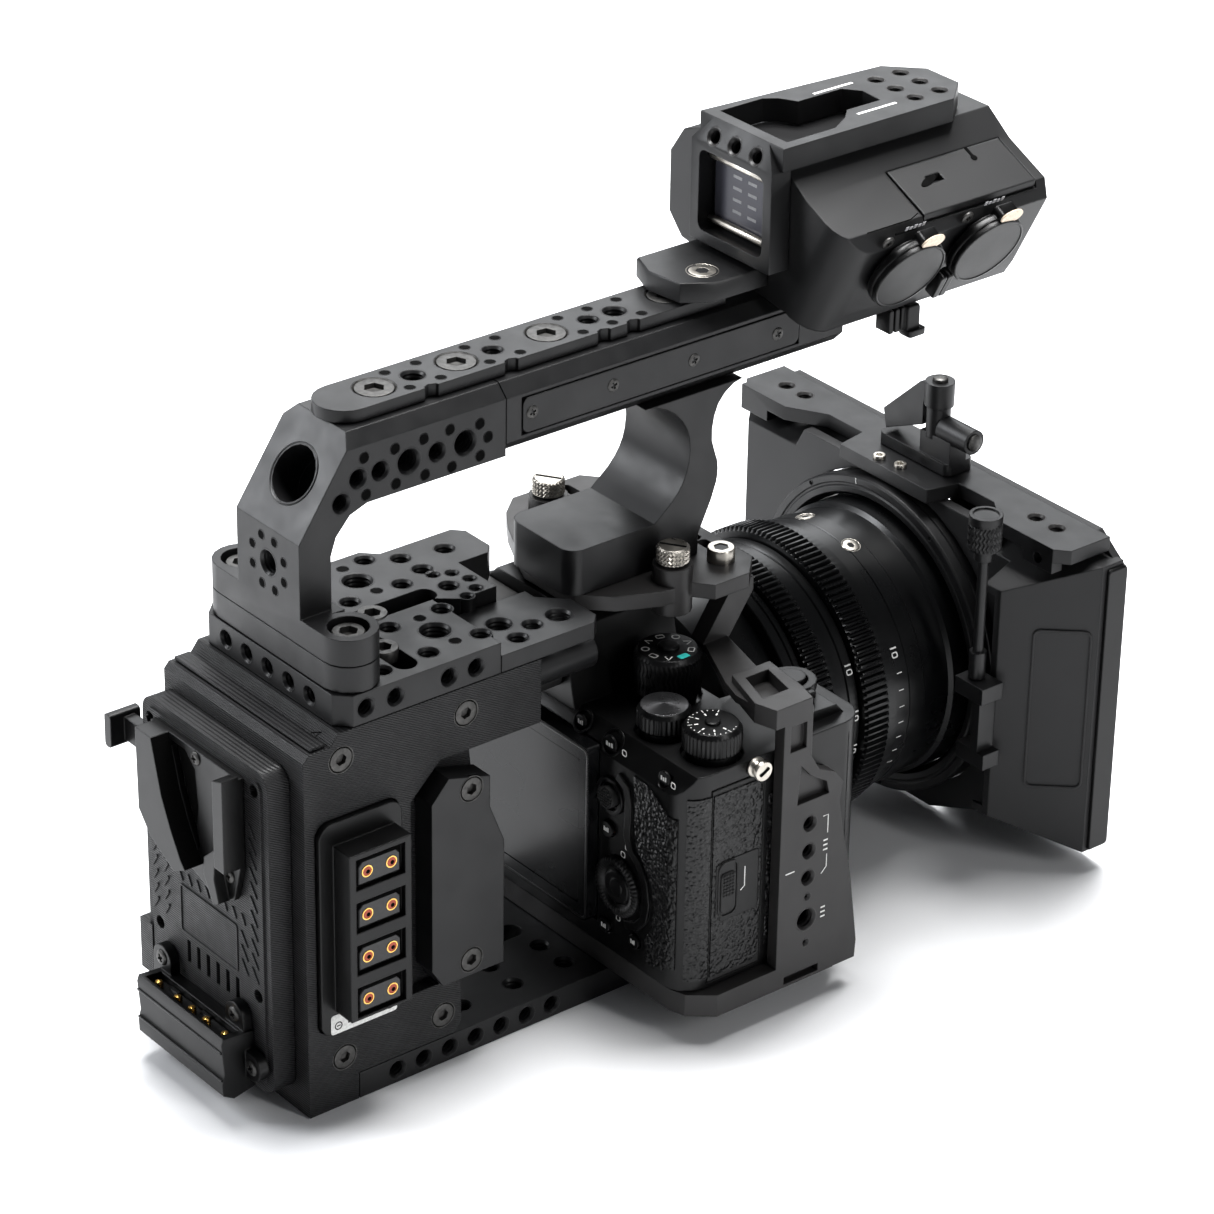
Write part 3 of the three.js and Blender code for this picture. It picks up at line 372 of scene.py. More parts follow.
def lens_finish():
    """Smooth, semi-gloss black of the lens's turned parts."""
    look = Finish("lens_gloss", (0.0026, 0.0028, 0.0032), 0.29, ior=1.45, wear=(12.0, 0.03))
    look.grain(0.5, 2.0, 0.004, 0.3)
    return look.material


def printed_polymer():
    """Dark polymer with the fine slanted lines of its layers."""
    look = Finish("printed_polymer", (0.0095, 0.0095, 0.0100), 0.48, ior=1.42, edges=0.5, wear=(4.0, 0.07))
    look.vary_colour(14.0, (0.015, 0.015, 0.016))
    look.bump(look.stripes(0.62, (0.0, 0.55, 1.0)), 0.07, 0.85)
    look.grain(1.2, 4.0, 0.02, 0.4)
    return look.material


def camera_shell():
    look = Finish("camera_shell", (0.0028, 0.0028, 0.0030), 0.34, ior=1.38, edges=0.6, wear=(7.0, 0.03))
    look.grain(0.3, 2.0, 0.02, 0.55)
    return look.material


def moulded(name, shade, roughness):
    """Fine-grained moulding, a little lighter than the camera's shell."""
    look = Finish(name, (shade, shade, shade * 1.05), roughness, ior=1.45, edges=0.7, wear=(16.0, 0.015))
    look.grain(0.28, 2.0, 0.03, 0.6)
    return look.material


def leatherette():
    """Pebbled grip covering."""
    look = Finish("leatherette", (0.0035, 0.0035, 0.0037), 0.34, ior=1.44)
    cells = look.node("ShaderNodeTexVoronoi", feature="SMOOTH_F1", Scale=780.0, Smoothness=0.35)
    warp = look.node("ShaderNodeVectorMath", operation="ADD")
    soft = look.node("ShaderNodeTexNoise", Scale=420.0)
    scale = look.node("ShaderNodeVectorMath", operation="SCALE", Scale=0.0016)
    look.links.new(look.where, soft.inputs["Vector"])
    look.links.new(soft.outputs["Color"], scale.inputs[0])
    look.links.new(look.where, warp.inputs[0])
    look.links.new(scale.outputs["Vector"], warp.inputs[1])
    look.links.new(warp.outputs["Vector"], cells.inputs["Vector"])
    look.bump(look.ranged(cells.outputs["Distance"], 1.0, 0.0, 0.0, 0.75), 0.5, 0.75)
    look.grain(0.35, 3.0, 0.03, 0.4)
    return look.material


def rubber():
    look = Finish("soft_rubber", (0.010, 0.010, 0.010), 0.62, ior=1.48, edges=0.6)
    look.vary_colour(6.0, (0.018, 0.018, 0.018))
    look.grain(0.5, 3.0, 0.03, 0.5)
    return look.material


def nickel():
    colour = (0.56, 0.53, 0.48)
    look = Finish("nickel", colour, 0.33, metallic=1.0, edges=0.25, wear=(3.0, 0.08))
    look.vary_colour(2.5, tuple(c * 0.82 for c in colour))
    look.bump(look.noise(0.25, 2.0, (1, 1, 6)), 0.01, 0.5)
    return look.material


def dark_steel():
    """The grey oxide of a hardened screw."""
    look = Finish("dark_steel", (0.085, 0.083, 0.080), 0.42, metallic=0.75, ior=1.6,
                  edges=0.2, wear=(1.6, 0.08))
    look.vary_colour(1.4, (0.055, 0.054, 0.052))
    look.grain(0.3, 3.0, 0.02, 0.6)
    return look.material


def gold():
    look = Finish("gold_contact", (0.80, 0.50, 0.15), 0.28, metallic=1.0, wear=(1.0, 0.08))
    look.grain(0.3, 2.0, 0.01, 0.4)
    return look.material


def glass_screen(name="screen_glass", colour=(0.004, 0.0042, 0.0048), roughness=0.26):
    look = Finish(name, colour, roughness, ior=1.33, wear=(25.0, 0.03))
    look.grain(18.0, 2.0, 0.01, 0.15)
    return look.material


def front_glass():
    """The lens's front element, dark with a faint violet and green coating."""
    look = Finish("coated_glass", (0.004, 0.005, 0.008), 0.03, ior=1.6)
    look.set(Coat_Weight=0.7, Coat_Roughness=0.02, Coat_Tint=(0.65, 0.55, 0.95, 1))
    look.vary_colour(24.0, (0.006, 0.010, 0.012))
    look.vary_roughness(30.0, 0.01)
    return look.material


def paint(name, colour, roughness=0.55):
    """Engraved and filled marks, and small printed plates."""
    look = Finish(name, colour, roughness)
    look.vary_colour(0.8, tuple(c * 0.80 for c in colour))
    look.grain(0.4, 2.0, 0.01, 0.4)
    return look.material


def spun_metal():
    """A dark, turned metal disc."""
    look = Finish("spun_metal", (0.16, 0.16, 0.165), 0.30, metallic=0.9, edges=0.2, wear=(5.0, 0.05))
    look.set(Anisotropic=0.7)
    look.grain(0.25, 2.0, 0.01, 0.4)
    return look.material


def make_shade_seam_ink():
    """Flat near-black: painted shade in holes, slots, vents, wells and recesses, and also the colour of dark
    seam lines and printed marks.
    """
    look = Finish("painted_shade_seam_ink", (0.0015, 0.0015, 0.0015), 0.9, ior=1.2, wear=(2.0, 0.05))
    look.grain(0.5, 2.0, 0.02, 0.4)
    return look.material


BLACK = anodised()
POLYMER = printed_polymer()
SHELL = camera_shell()
LEATHER = leatherette()
RUBBER = rubber()
NICKEL = nickel()
STEEL = dark_steel()
GOLD = gold()
SCREEN = glass_screen()
FRONT_GLASS = front_glass()
WHITE = paint("white_paint", (0.75, 0.75, 0.73))
TEAL = paint("teal_paint", (0.03, 0.55, 0.50))
LCD = glass_screen("lcd_glass", (0.060, 0.060, 0.075), 0.22)
CREAM = paint("cream_tag", (0.78, 0.66, 0.52), 0.4)
GREY_MARK = paint("grey_mark", (0.30, 0.30, 0.31))
CAGE = anodised("cage_anodised", (0.021, 0.020, 0.020), 0.42)
GLOSS = lens_finish()
AUDIO = moulded("audio_shell", 0.0105, 0.42)
HOOD = moulded("hood_polymer", 0.0140, 0.52)
INSERT = paint("outlet_insert", (0.030, 0.030, 0.031), 0.45)
RED = paint("contact_red", (0.42, 0.065, 0.022), 0.4)
# near-black used as painted shade in holes and recesses, and for seams and printed marks
DARK_SHADE_SEAM_INK = make_shade_seam_ink()
SPUN = spun_metal()

# the record slot that a finish usually fills
SLOT_OF = {look.name: slot for slot, looks in {
    "anodised_metal": (BLACK, CAGE, GLOSS, SPUN),
    "printed_polymer": (POLYMER, HOOD),
    "camera_shell": (SHELL, DARK_SHADE_SEAM_INK, WHITE, TEAL, INSERT),
    "rubber": (LEATHER, RUBBER),
    "nickel_steel": (NICKEL, STEEL),
    "gold_contact": (GOLD, RED),
    "coated_glass": (SCREEN, LCD),
    "cap_polymer": (CREAM, GREY_MARK),
}.items() for look in looks}

LOOKS = {
    "anodised_metal": BLACK,
    "printed_polymer": POLYMER,
    "camera_shell": SHELL,
    "rubber": RUBBER,
    "nickel_steel": NICKEL,
    "gold_contact": GOLD,
    "coated_glass": SCREEN,
    "cap_polymer": SHELL,
}


def dress_nodes():
    """Gives every CAD node its material and crisp, smooth shading."""
    slots = {part["node"]: part["material_slot"] for part in frame["record"]["subparts"]}
    special = {
        "lens_glass": FRONT_GLASS,
        "rear_dial": SPUN,
        "camera_cage": CAGE,
        "shutter_button": SHELL,
        "power_ring": SHELL,
        "cage_top_plate": CAGE,
        "audio_body": AUDIO,
        "audio_cover": AUDIO,
        "matte_box_frame": HOOD,
    }
    for name, node in frame["nodes"].items():
        look = special.get(name) or LOOKS[slots[name]]
        node.data.materials.clear()
        node.data.materials.append(look)
        weld = node.modifiers.new("weld", "WELD")
        weld.merge_threshold = 0.00002
        soften(node, 32.0)


# ---- threads and screws ----


def thread(piece, at, radius, depth):
    """A threaded hole wall with a flat rim, a small countersink and turned grooves."""
    lip = 0.2
    pitch = 1.25 if radius > 2.5 else 0.8
    mouth = radius * (0.925 if radius > 2.0 else 0.86)
    root = mouth - 0.22
    crest = mouth - 0.60
    low = -0.35
    rim = radius + lip
    outline = [(rim, -0.02), (rim - lip * 0.3, 0.03), (mouth + 0.06, 0.03), (mouth, 0.0), (root, low)]
    while low - pitch > -depth:
        outline.append((crest, low - pitch * 0.35))
        outline.append((crest, low - pitch * 0.5))
        outline.append((root, low - pitch * 0.9))
        low -= pitch
    outline.append((root, -depth))
    outline.append((rim, -depth))
    piece.ring(at, outline, 32)


def hex_recess(flat):
    return lambda angle: hexagon_radius(angle, flat)


def countersunk(piece, at, radius, hexagon=None):
    """A flat screw head sunk in a conical seat: rim, dished gap and hexagon socket."""
    flat = hexagon or radius * 0.42
    piece.head(at, [
        (radius * 0.5, -1.2),
        (radius * 0.86, -0.25),
        (radius * 0.90, -0.02),
        (radius * 0.84, 0.06),
    ], hex_recess(flat), 1.4)
    piece.ring(at, [
        (radius * 1.08, -0.05),
        (radius * 1.06, 0.06),
        (radius * 1.0, 0.03),
        (radius * 0.9, -0.5),
        (radius * 1.0, -0.6),
    ], 36)


def cap_screw(piece, at, radius, height, flat=None):
    """A socket cap screw with a knurled side."""
    piece.head(at, [
        (radius, 0.0),
        (radius, height - 0.5),
        (radius * 0.93, height),
        (radius * 0.70, height),
    ], hex_recess(flat or radius * 0.5), height * 0.6)


def cross_screw(piece, at, radius, height=0.5):
    """A pan-head screw with a cross recess."""
    piece.head(at, [
        (radius, -0.3),
        (radius, height * 0.3),
        (radius * 0.86, height * 0.8),
        (radius * 0.6, height),
    ], lambda angle: cross_radius(angle, radius * 0.55, radius * 0.16), height * 1.1, 48)


class Holes:
    """Small blind holes, each shown as a raised rim round a flat dark disc of painted shade that stands for
    the darkness inside the hole.
    """

    def __init__(self, name):
        self.rims = Piece(name + "_rims")
        self.shade_discs = Piece(name + "_floors")

    def add(self, at, radius):
        outline = [(radius + 0.35, -0.02), (radius + 0.3, 0.05), (radius, 0.02), (radius, -0.02)]
        self.rims.ring(at, outline, 20)
        # painted shade: a dark disc at the hole's mouth in place of the darkness down the hole
        self.shade_discs.slab(at, circle(radius, 20), -0.02, 0.025)

    def done(self):
        self.rims.done(BLACK)
        self.shade_discs.done(DARK_SHADE_SEAM_INK, slot="anodised_metal")


BORE_FACE = ((0, -0.828, 0.561), (0, 0.561, 0.828))
BEVEL_FACE = ((0, -0.915, 0.405), (0, 0.405, 0.915))
PLATE_EDGE = (114.7 + TOP_PLATE) / 2


def plate_threads():
    piece = Piece("plate_threads")
    for i in range(7):
        thread(piece, place(RIGHT, HALF_WIDTH, 29 + i * 8.8, 4), 2.9, 8.5)
    for x in (-22, -11, 11, 22):
        for y in (58, 76, 94):
            thread(piece, place(TOP, x, y, 8), 3.1, 7.5)
    for x in (-20, -10.5, -1, 8.5, 18):
        thread(piece, place(BACK, x, 12, PLATE_EDGE), 2.9, 7.5)
    for y in (20, 29.4, 46.7, 55.5):
        thread(piece, place(RIGHT, HALF_WIDTH, y, PLATE_EDGE), 2.9, 7.5)
    small = Holes("plate_small_holes")
    for x in (-19, 16):
        thread(piece, place(TOP, x, 54, TOP_PLATE), 4.6, 8.8)
        for dx in (-8.6, 8.6):
            for dy in (-8.6, 8.6):
                thread(piece, place(TOP, x + dx, 54 + dy, TOP_PLATE), 3.1, 8.8)
            small.add(place(TOP, x + dx * 0.907, 54.8, TOP_PLATE), 1.5)
    for x, y in ((-22.5, 71), (-14, 72), (-20, 84), (25, 30), (-2, 72)):
        thread(piece, place(TOP, x, y, TOP_PLATE), 3.1, 8.8)
    for i in range(5):
        dx, dy = polar(1, math.pi * i / 4)
        thread(piece, place(TOP, -2 + 7.6 * dx, 72.4 + 6.6 * dy, TOP_PLATE), 2.1, 6)
    for x, y, radius in ((17.5, 74, 3.9), (23, 90, 3.9), (26.5, 73.5, 3.1), (23, 81, 3.1)):
        thread(piece, place(TOP, x, y, LOWER_LEVEL), radius, 5)
    small.done()
    piece.done(BLACK)


def handle_threads():
    piece = Piece("handle_threads")
    small = Holes("handle_small_holes")
    tiny = (
        (33.7, 169.3), (43.2, 169.6), (33.2, 180), (43, 179.7), (52.2, 179.8), (52.5, 169.4), (60.6, 180),
        (61.2, 169.1), (70.3, 178.9), (73, 174.3), (70.4, 169.6),
    )
    for side, face in ((1, RIGHT), (-1, LEFT)):
        for y, radius in ((38.2, 3.0), (56.4, 3.0), (47.3, 3.9), (65.5, 3.9)):
            thread(piece, place(face, side * HANDLE_SIDE, y, 174.8), radius, 10)
        for y, z in tiny:
            small.add(place(face, side * HANDLE_SIDE, y, z), 1.4)
    for y, z in ((25.8, 169.1), (31.2, 174.6)):
        thread(piece, place(RIGHT, HANDLE_SIDE, y, z), 3.0, 5.5)
    thread(piece, place(BACK, 0, 12.4, 150.5), 3.9, 9)
    for i in range(8):
        dx, dz = polar(7.6, i * math.pi / 4 + 0.39)
        small.add(place(BACK, dx, 12.4, 150.5 + dz), 1.2)
    wide = [(8.6, -0.02), (8.4, 0.06), (7.75, -0.5), (7.65, -8.0), (8.6, -8.0)]
    piece.ring(place(BORE_FACE, 0, 20.8, 173.8), wide, 48)
    for y, radius in ((59, 3.6), (85, 3.1), (117, 3.1), (126, 3.6)):
        thread(piece, place(TOP, 0, y, RAIL_TOP), radius, 3.4)
    for y in (54, 64, 80, 90, 111, 121, 131):
        for x in (-5.5, 5.5):
            small.add(place(TOP, x, y, RAIL_TOP), 1.3)
    small.done()
    piece.done(BLACK)


def cage_threads():
    piece = Piece("cage_threads")
    for z in (58.5, 49.7, 41.2):
        thread(piece, place(RIGHT, CAGE_SIDE, 141.4, z), 2.6, 3.4)
    thread(piece, place(RIGHT, CAGE_SIDE, 141.4, 27.8), 3.6, 3.4)
    for z in (35, 20.2):
        thread(piece, place(RIGHT, CAGE_SIDE, 141.5, z), 1.3, 3.4)
    for x in (-69, -60.5, 40.5, 49):
        thread(piece, place(TOP, x, 249.6, 107.4), 2.7, 4.2)
    for x in AUDIO_TOP_HOLES:
        for y in (218, 227):
            thread(piece, place(TOP, x, y, AUDIO_TOP), 2.5, 4.4)
    for x in AUDIO_BEVEL_HOLES:
        thread(piece, place(BEVEL_FACE, x, 163.1, 230.4), 2.6, 4.0)
    piece.done(CAGE)
    marks = Piece("cage_marks")
    side = place(RIGHT, CAGE_SIDE, 0, 0)
    marks.box(side, 133.2, 136.4, 44.9, 45.3, -0.02, 0.05)
    marks.strip(side, ((146.2, 59.2), (148.0, 59.2), (148.0, 53.4)), 0.3, -0.02, 0.05)
    marks.strip(side, ((146.2, 40.8), (148.0, 42.6), (148.0, 46.6)), 0.3, -0.02, 0.05)
    for i in range(3):
        marks.box(side, 146.6, 148.2, 48.0 + i * 1.5, 48.5 + i * 1.5, -0.02, 0.05)
        marks.box(side, 146.6, 148.2, 26.4 + i * 1.5, 26.9 + i * 1.5, -0.02, 0.05)
    marks.done(WHITE, slot="anodised_metal")


def dark_screws():
    """Countersunk hexagon screws of the housing, the cover plate and the handle's rail."""
    piece = Piece("housing_screws")
    for y, z in ((11.9, 106.7), (52.2, 106.8), (44.4, 15.4), (11.7, 15.1)):
        countersunk(piece, place(RIGHT, HALF_WIDTH, y, z, 0.2), 3.8, 1.5)
    for z in (32.2, 85.5):
        countersunk(piece, place(RIGHT, COVER_FACE, 51.5, z, 0.5), 3.7, 1.5)
    piece.done(STEEL)
    rail = Piece("rail_screws")
    for y in (46.6, 73.1, 102.9, 143.9):
        countersunk(rail, place(TOP, 0, y, RAIL_TOP - 0.1, 0.4), 5.9, 2.5)
    rail.done(STEEL)


def socket_screws():
    """Cap screws with hexagon sockets: in the handle's feet, the plate's slots and the cage."""
    piece = Piece("socket_screws")
    for x in (-24, 24):
        cap_screw(piece, place(TOP, x, 20.4, 135.4, 0.3), 4.5, 3.0, 2.3)
    for x, y in ((-1.6, 46.4), (15.3, 37.6)):
        cap_screw(piece, place(TOP, x, y, 121.0, 0.3), 4.3, 3.3, 2.1)
    piece.done(STEEL)
    bright = Piece("bright_screws")
    cap_screw(bright, place(TOP, 20, 149, 117.02, 0.5), 3.9, 3.85, 1.9)
    countersunk(bright, place(TOP, 4.6, 152.6, 197.2), 4.3, 1.7)
    bright.turned(place(TOP, 4.6, 152.6, 196.2), [(4.3, 0), (4.3, 0.9), (2.0, 0.9)], 30)
    for x, y in ((-15, 239), (-7, 240)):
        cap_screw(bright, place(TOP, x, y, 107.42), 1.9, 1.2, 0.9)
    bright.done(NICKEL)


def cross_screws():
    piece = Piece("cross_screws")
    for side, face in ((1, RIGHT), (-1, LEFT)):
        for y, z in ((87.4, 177.4), (114.6, 177.4), (142.4, 177), (172, 176.6)):
            cross_screw(piece, place(face, side * 14.2, y, z, 0.4), 1.9, 0.35)
    for x, z in ((-3.0, 98.6), (11.6, 69.8)):
        cross_screw(piece, place(BACK, x, -9.9, z, 0.3), 2.0, 0.6)
    for x, z in ((-21, 28.4), (13.4, 28), (21.2, 15)):
        cross_screw(piece, place(BACK, x, -11, z, 0.5), 2.3, 0.6)
    piece.done(STEEL)


# ---- battery plate, contacts and outlets ----


def plate_relief():
    """Slanted ribs, a blank label panel and screw holes on the battery plate, with painted shade over the
    vents, the screw holes and the receiver's pocket.
    """
    piece = Piece("plate_relief")
    face = -7.8
    pitch = 4.4

    def dash(x, z, length, lean):
        at = place(BACK, x, face, z, lean)
        piece.slab(at, rounded(length, 0.9, 0.44, 3), -0.1, 0.35, 0.12)

    for x, low, count, length, lean in ((19.4, 42, 11, 5.2, -0.95), (14.6, 42.2, 3, 5.2, -0.95),
                                        (-27.4, 42, 6, 4.6, 1.0), (-22.2, 42.2, 5, 4.6, 1.0)):
        for i in range(count):
            dash(x, low + i * pitch, length, lean)
    for i in range(8):
        dash(-15 + i * 4.2, 57.4 - abs(i - 4.5) * 0.2, 3.6, -1.1)
    at = place(BACK, -2.0, face, 46.3)
    piece.frame(at, rounded(27, 15, 1.0), rounded(26, 14, 0.7), -0.1, 0.3)
    piece.done(POLYMER)
    # painted shade: dark sheets over the vents and screw holes, where the openings would be dark
    holes = Piece("plate_vent_shade")
    for i in range(6):
        holes.slab(place(BACK, -12.2 + i * 4.6, -5.45, 33.5), rounded(1.7, 7.2, 0.8, 4), 0, 0.05)
    for x, z in ((-27.5, 99), (20.5, 99), (-26, 36), (20.5, 36)):
        holes.slab(place(BACK, x, -3.1, z), circle(2.2, 20), 0, 0.05)
    # painted shade: black on the receiver pocket's floor and, along the wing's inner edge, on the pocket's
    # wall, where that deep recess is in shade
    pocket = [(-15.0, 98.9), (-11.0, 85.9), (-7.2, 77.4), (-3.5, 70.8), (-2.3, 72), (-3.5, 77),
              (-2.6, 84), (-3.7, 95), (-8.1, 98.9)]
    behind = place(BACK, 0, face, 0)
    holes.slab(behind, pocket, 0.02, 0.08)
    wing_edge = ((-15.5, 100.8), (-11.3, 85.4), (-7.4, 76.9), (-3.1, 69.4), (-1.3, 67.4))
    holes.strip(behind, wing_edge, 0.12, 0.1, 7.62)
    holes.done(DARK_SHADE_SEAM_INK, slot="printed_polymer")


def battery_contacts():
    pins = Piece("contact_pins")
    outline = [(0.5, 0), (1.25, 0.2), (1.25, 1.6), (0.95, 2.2), (0.3, 2.5)]
    for x in (-16.6, -7.4, -0.7, 6.1, 14.9):
        pins.turned(place(TOP, x, -15.1, 22.5), outline, 18)
    pins.done(GOLD, stand_in="contact_pin_strip")
    tray = Piece("contact_tray")
    tray.slab(place(TOP, -1.8, -14.5, 22.25), rounded(35.6, 4.4, 0.4, 2), 0, 0.4)
    for x in (-12.2, 2.6):
        tray.slab(place(TOP, x, -12.8, 22.65), rounded(4.2, 1.2, 0.2, 2), 0, 0.5)
    for low, high in ((21.2, 20.6), (12.4, 11.9)):
        tray.box(place(BACK, -1.8, -18.5, 0), -20.0, 20.0, high, low, -0.4, 0.35)
    tray.done(SHELL)


def power_outlets():
    gold = Piece("outlet_contacts")
    cores = Piece("outlet_contact_cores")
    well_shades = Piece("outlet_wells")
    inserts = Piece("outlet_inserts")
    middle = (CONTACT_Y[0] + CONTACT_Y[1]) / 2
    outline = [(-6.6, -3.3), (6.6, -3.3), (6.6, 1.9), (5.4, 3.3), (-5.4, 3.3), (-6.6, 1.9)]
    for i in range(4):
        z = 37.4 + i * 13.1
        # painted shade: a dark sheet on each outlet's recessed face, round its insert, for the recess's
        # shade
        well_shades.slab(place(RIGHT, WELL_FLOOR, middle, z), rounded(15.4, 9.0, 0.8, 3), 0, 0.05)
        inserts.slab(place(RIGHT, WELL_FLOOR, middle, z - 0.3), outline, 0, 1.2, 0.25)
        for y in CONTACT_Y:
            at = place(RIGHT, 40.2, y, z - 0.2)
            gold.ring(at, [(1.75, -0.3), (1.75, 0.16), (1.4, 0.16), (1.35, -0.3)], 24)
            cores.slab(at, circle(1.4, 24), -0.2, 0.04)
            # painted shade: a dark spot in each contact's pin hole
            well_shades.slab(moved(at, 0.3, -0.3), circle(0.62, 16), -0.1, 0.06)
    gold.done(GOLD)
    cores.done(RED)
    well_shades.done(DARK_SHADE_SEAM_INK)
    inserts.done(INSERT)
    label = Piece("blank_label")
    label.slab(place(RIGHT, 33.6, 17.0, 27.8), rounded(21.6, 6.0, 0.8, 3), -0.05, 0.12)
    label.done(WHITE)
    marks = Piece("label_marks")
    for y in (8.6, 25.4):
        at = place(RIGHT, LABEL_FACE, y, 27.2)
        marks.frame(at, circle(1.25, 20), circle(0.95, 20), -0.02, 0.03)
        marks.box(at, -0.6, 0.6, -0.14, 0.14, -0.02, 0.03)
    for y in (12.6, 17.0, 21.4):
        marks.box(place(RIGHT, LABEL_FACE, y, 27.2), -0.9, 0.9, -0.35, 0.35, -0.02, 0.03)
    marks.done(DARK_SHADE_SEAM_INK)


def cover_seam():
    """The seam between the two halves of the stepped top cover."""
    seam = Piece("cover_seam")
    for x0, y0, z0, x1, y1, z1 in ((24, 0.2, 109.5, 24.5, 8.4, 111.5), (24.5, 8.4, 111.5, 28, 11.2, 114.6)):
        start, end = Vector((x0, y0, z0)), Vector((x1, y1, z1))
        middle = (start + end) / 2
        way = (end - start).normalized()
        at = place((Vector((0, -0.25, 1)), way), *middle)
        half = (end - start).length / 2
        seam.box(at, -0.12, 0.12, -half, half, -0.1, 0.12)
    seam.done(DARK_SHADE_SEAM_INK, slot="printed_polymer")


# ---- knobs and dials ----


def knurled_knob(node, at, radius, height):
    """A short diamond-knurled screw head with a coin slot."""
    name = node + "_knurl"
    piece = Piece(name)
    rows = [(radius * 0.8, 0), (radius * 0.97, 0.3)]
    steps = 7
    for i in range(steps):
        rows.append((radius * 0.94, radius * 1.02, 0.6 + i * (height - 1.2) / (steps - 1)))
    rows += [(radius * 0.93, height - 0.25), (radius * 0.86, height)]
    piece.ribbed(at, rows, 26, 2, 0.5)
    piece.done(NICKEL, body=node, stand_in=node, smooth=25)
    # painted shade: a dark sheet at the top of the coin slot stands for the darkness inside the slot
    slot_shade = Piece(name + "_slot")
    slot_shade.slab(at, rounded(radius * 1.66, 1.0, 0.2, 2), height - 0.05, height + 0.03)
    slot_shade.done(DARK_SHADE_SEAM_INK, body=node, slot="nickel_steel")


def thumb_screws():
    for node, x, y in (("thumb_screw_right", 20.9, 131), ("thumb_screw_left", -32.1, 129.4)):
        knurled_knob(node, place(TOP, x, y, 122.4, 0.6), 4.6, 5.0)


def camera_dial(node, spot, radius, teeth, twist=0.0, slot="camera_shell"):
    """A camera dial: plain collar, knurled band and chamfered top."""
    x, y, top = spot
    height = top - DIAL_BASE
    piece = Piece(node + "_band")
    rows = [(radius * 0.88, 0), (radius * 0.88, 2.4), (radius * 0.96, 2.8)]
    steps = 6 if twist else 2
    for i in range(steps):
        rows.append((radius * 0.96, radius * 1.01, 3.2 + i * (height - 4.6) / (steps - 1)))
    rows += [(radius * 0.94, height - 0.9), (radius * 0.88, height)]
    piece.ribbed(place(TOP, x, y, DIAL_BASE), rows, teeth, 2, twist)
    piece.done(SHELL, body=node, slot=slot, stand_in=node, smooth=25)


def dials():
    camera_dial("mode_dial", MODE_DIAL, 9.4, 44, twist=0.5)
    camera_dial("rear_dial", REAR_DIAL, 7.6, 34, slot="anodised_metal")
    camera_dial("exposure_dial", EXPOSURE_DIAL, 8.2, 40)
    disc = Piece("rear_dial_disc")
    disc.turned(place(TOP, *REAR_DIAL), [(6.6, -0.1), (6.6, 0.12), (6.3, 0.18), (0.1, 0.45)], 40)
    disc.done(SPUN, body="rear_dial")


def on_dial(dial, radius, angle):
    """A place on a dial's top, turned with the angle."""
    x, y, top = dial
    dx, dy = polar(radius, angle)
    return place(TOP, x + dx, y + dy, top, angle)


def mode_dial_marks():
    """Nine generic signs, one of them teal, and the lock button in the middle."""
    marks = Piece("mode_dial_marks")
    for i in range(9):
        at = on_dial(MODE_DIAL, 6.4, i * math.tau / 9 + 0.03)
        if i == 0:
            teal = Piece("mode_dial_teal")
            teal.slab(at, rounded(2.2, 3.4, 0.4, 2), -0.02, 0.04)
            teal.done(TEAL, body="mode_dial")
        elif i % 3 == 1:
            marks.frame(at, rounded(2.0, 2.6, 0.5, 2), rounded(1.3, 1.9, 0.3, 2), -0.02, 0.04)
        elif i % 3 == 2:
            marks.strip(at, ((-1.0, -1.0), (1.0, 0.0), (-1.0, 1.0)), 0.4, -0.02, 0.04)
        else:
            marks.frame(at, circle(1.25, 16), circle(0.85, 16), -0.02, 0.04)
    marks.done(WHITE, body="mode_dial")
    lock = Piece("mode_dial_lock")
    lock.turned(place(TOP, *MODE_DIAL), [(3.0, -0.1), (3.0, 0.7), (2.7, 0.95), (0.1, 1.0)], 28)
    lock.done(SHELL, body="mode_dial")


def exposure_dial_marks():
    """A scale of ticks and dots with the lock button in the middle."""
    scale = Piece("exposure_dial_marks")
    for i in range(21):
        at = on_dial(EXPOSURE_DIAL, 6.6, i * math.tau / 27 + 2.2)
        if i % 3:
            scale.slab(at, circle(0.2, 8), -0.02, 0.04)
        else:
            scale.box(at, -0.9, 0.4, -0.1, 0.1, -0.02, 0.04)
            scale.box(at, -2.6, -1.5, -0.22, 0.22, -0.02, 0.04)
    scale.done(WHITE, body="exposure_dial")
    knob = Piece("exposure_dial_lock")
    knob.turned(place(TOP, *EXPOSURE_DIAL), [(2.2, -0.1), (2.2, 0.5), (1.9, 0.8), (0.1, 0.85)], 24)
    knob.done(SHELL, body="exposure_dial")


def control_wheel():
    """The ring of fine ridges on the camera's back round its middle button."""
    piece = Piece("control_wheel_ring")
    at = place(BACK, 37.6, 100.7, 38.2)
    piece.ribbed(at, [
        (9.0, 0.0), (9.0, 0.9), (8.3, 8.95, 1.5), (7.2, 8.1, 1.95), (6.2, 6.5, 1.5), (5.6, 0.7), (5.5, 0.6),
    ], 44, 2)
    piece.turned(at, [(5.2, 0.5), (5.1, 1.1), (4.7, 1.35), (2.6, 1.2), (2.4, 1.45), (0.1, 1.5)], 32)
    piece.done(SHELL, body="control_wheel", stand_in="control_wheel", smooth=28)


# ---- camera body ----


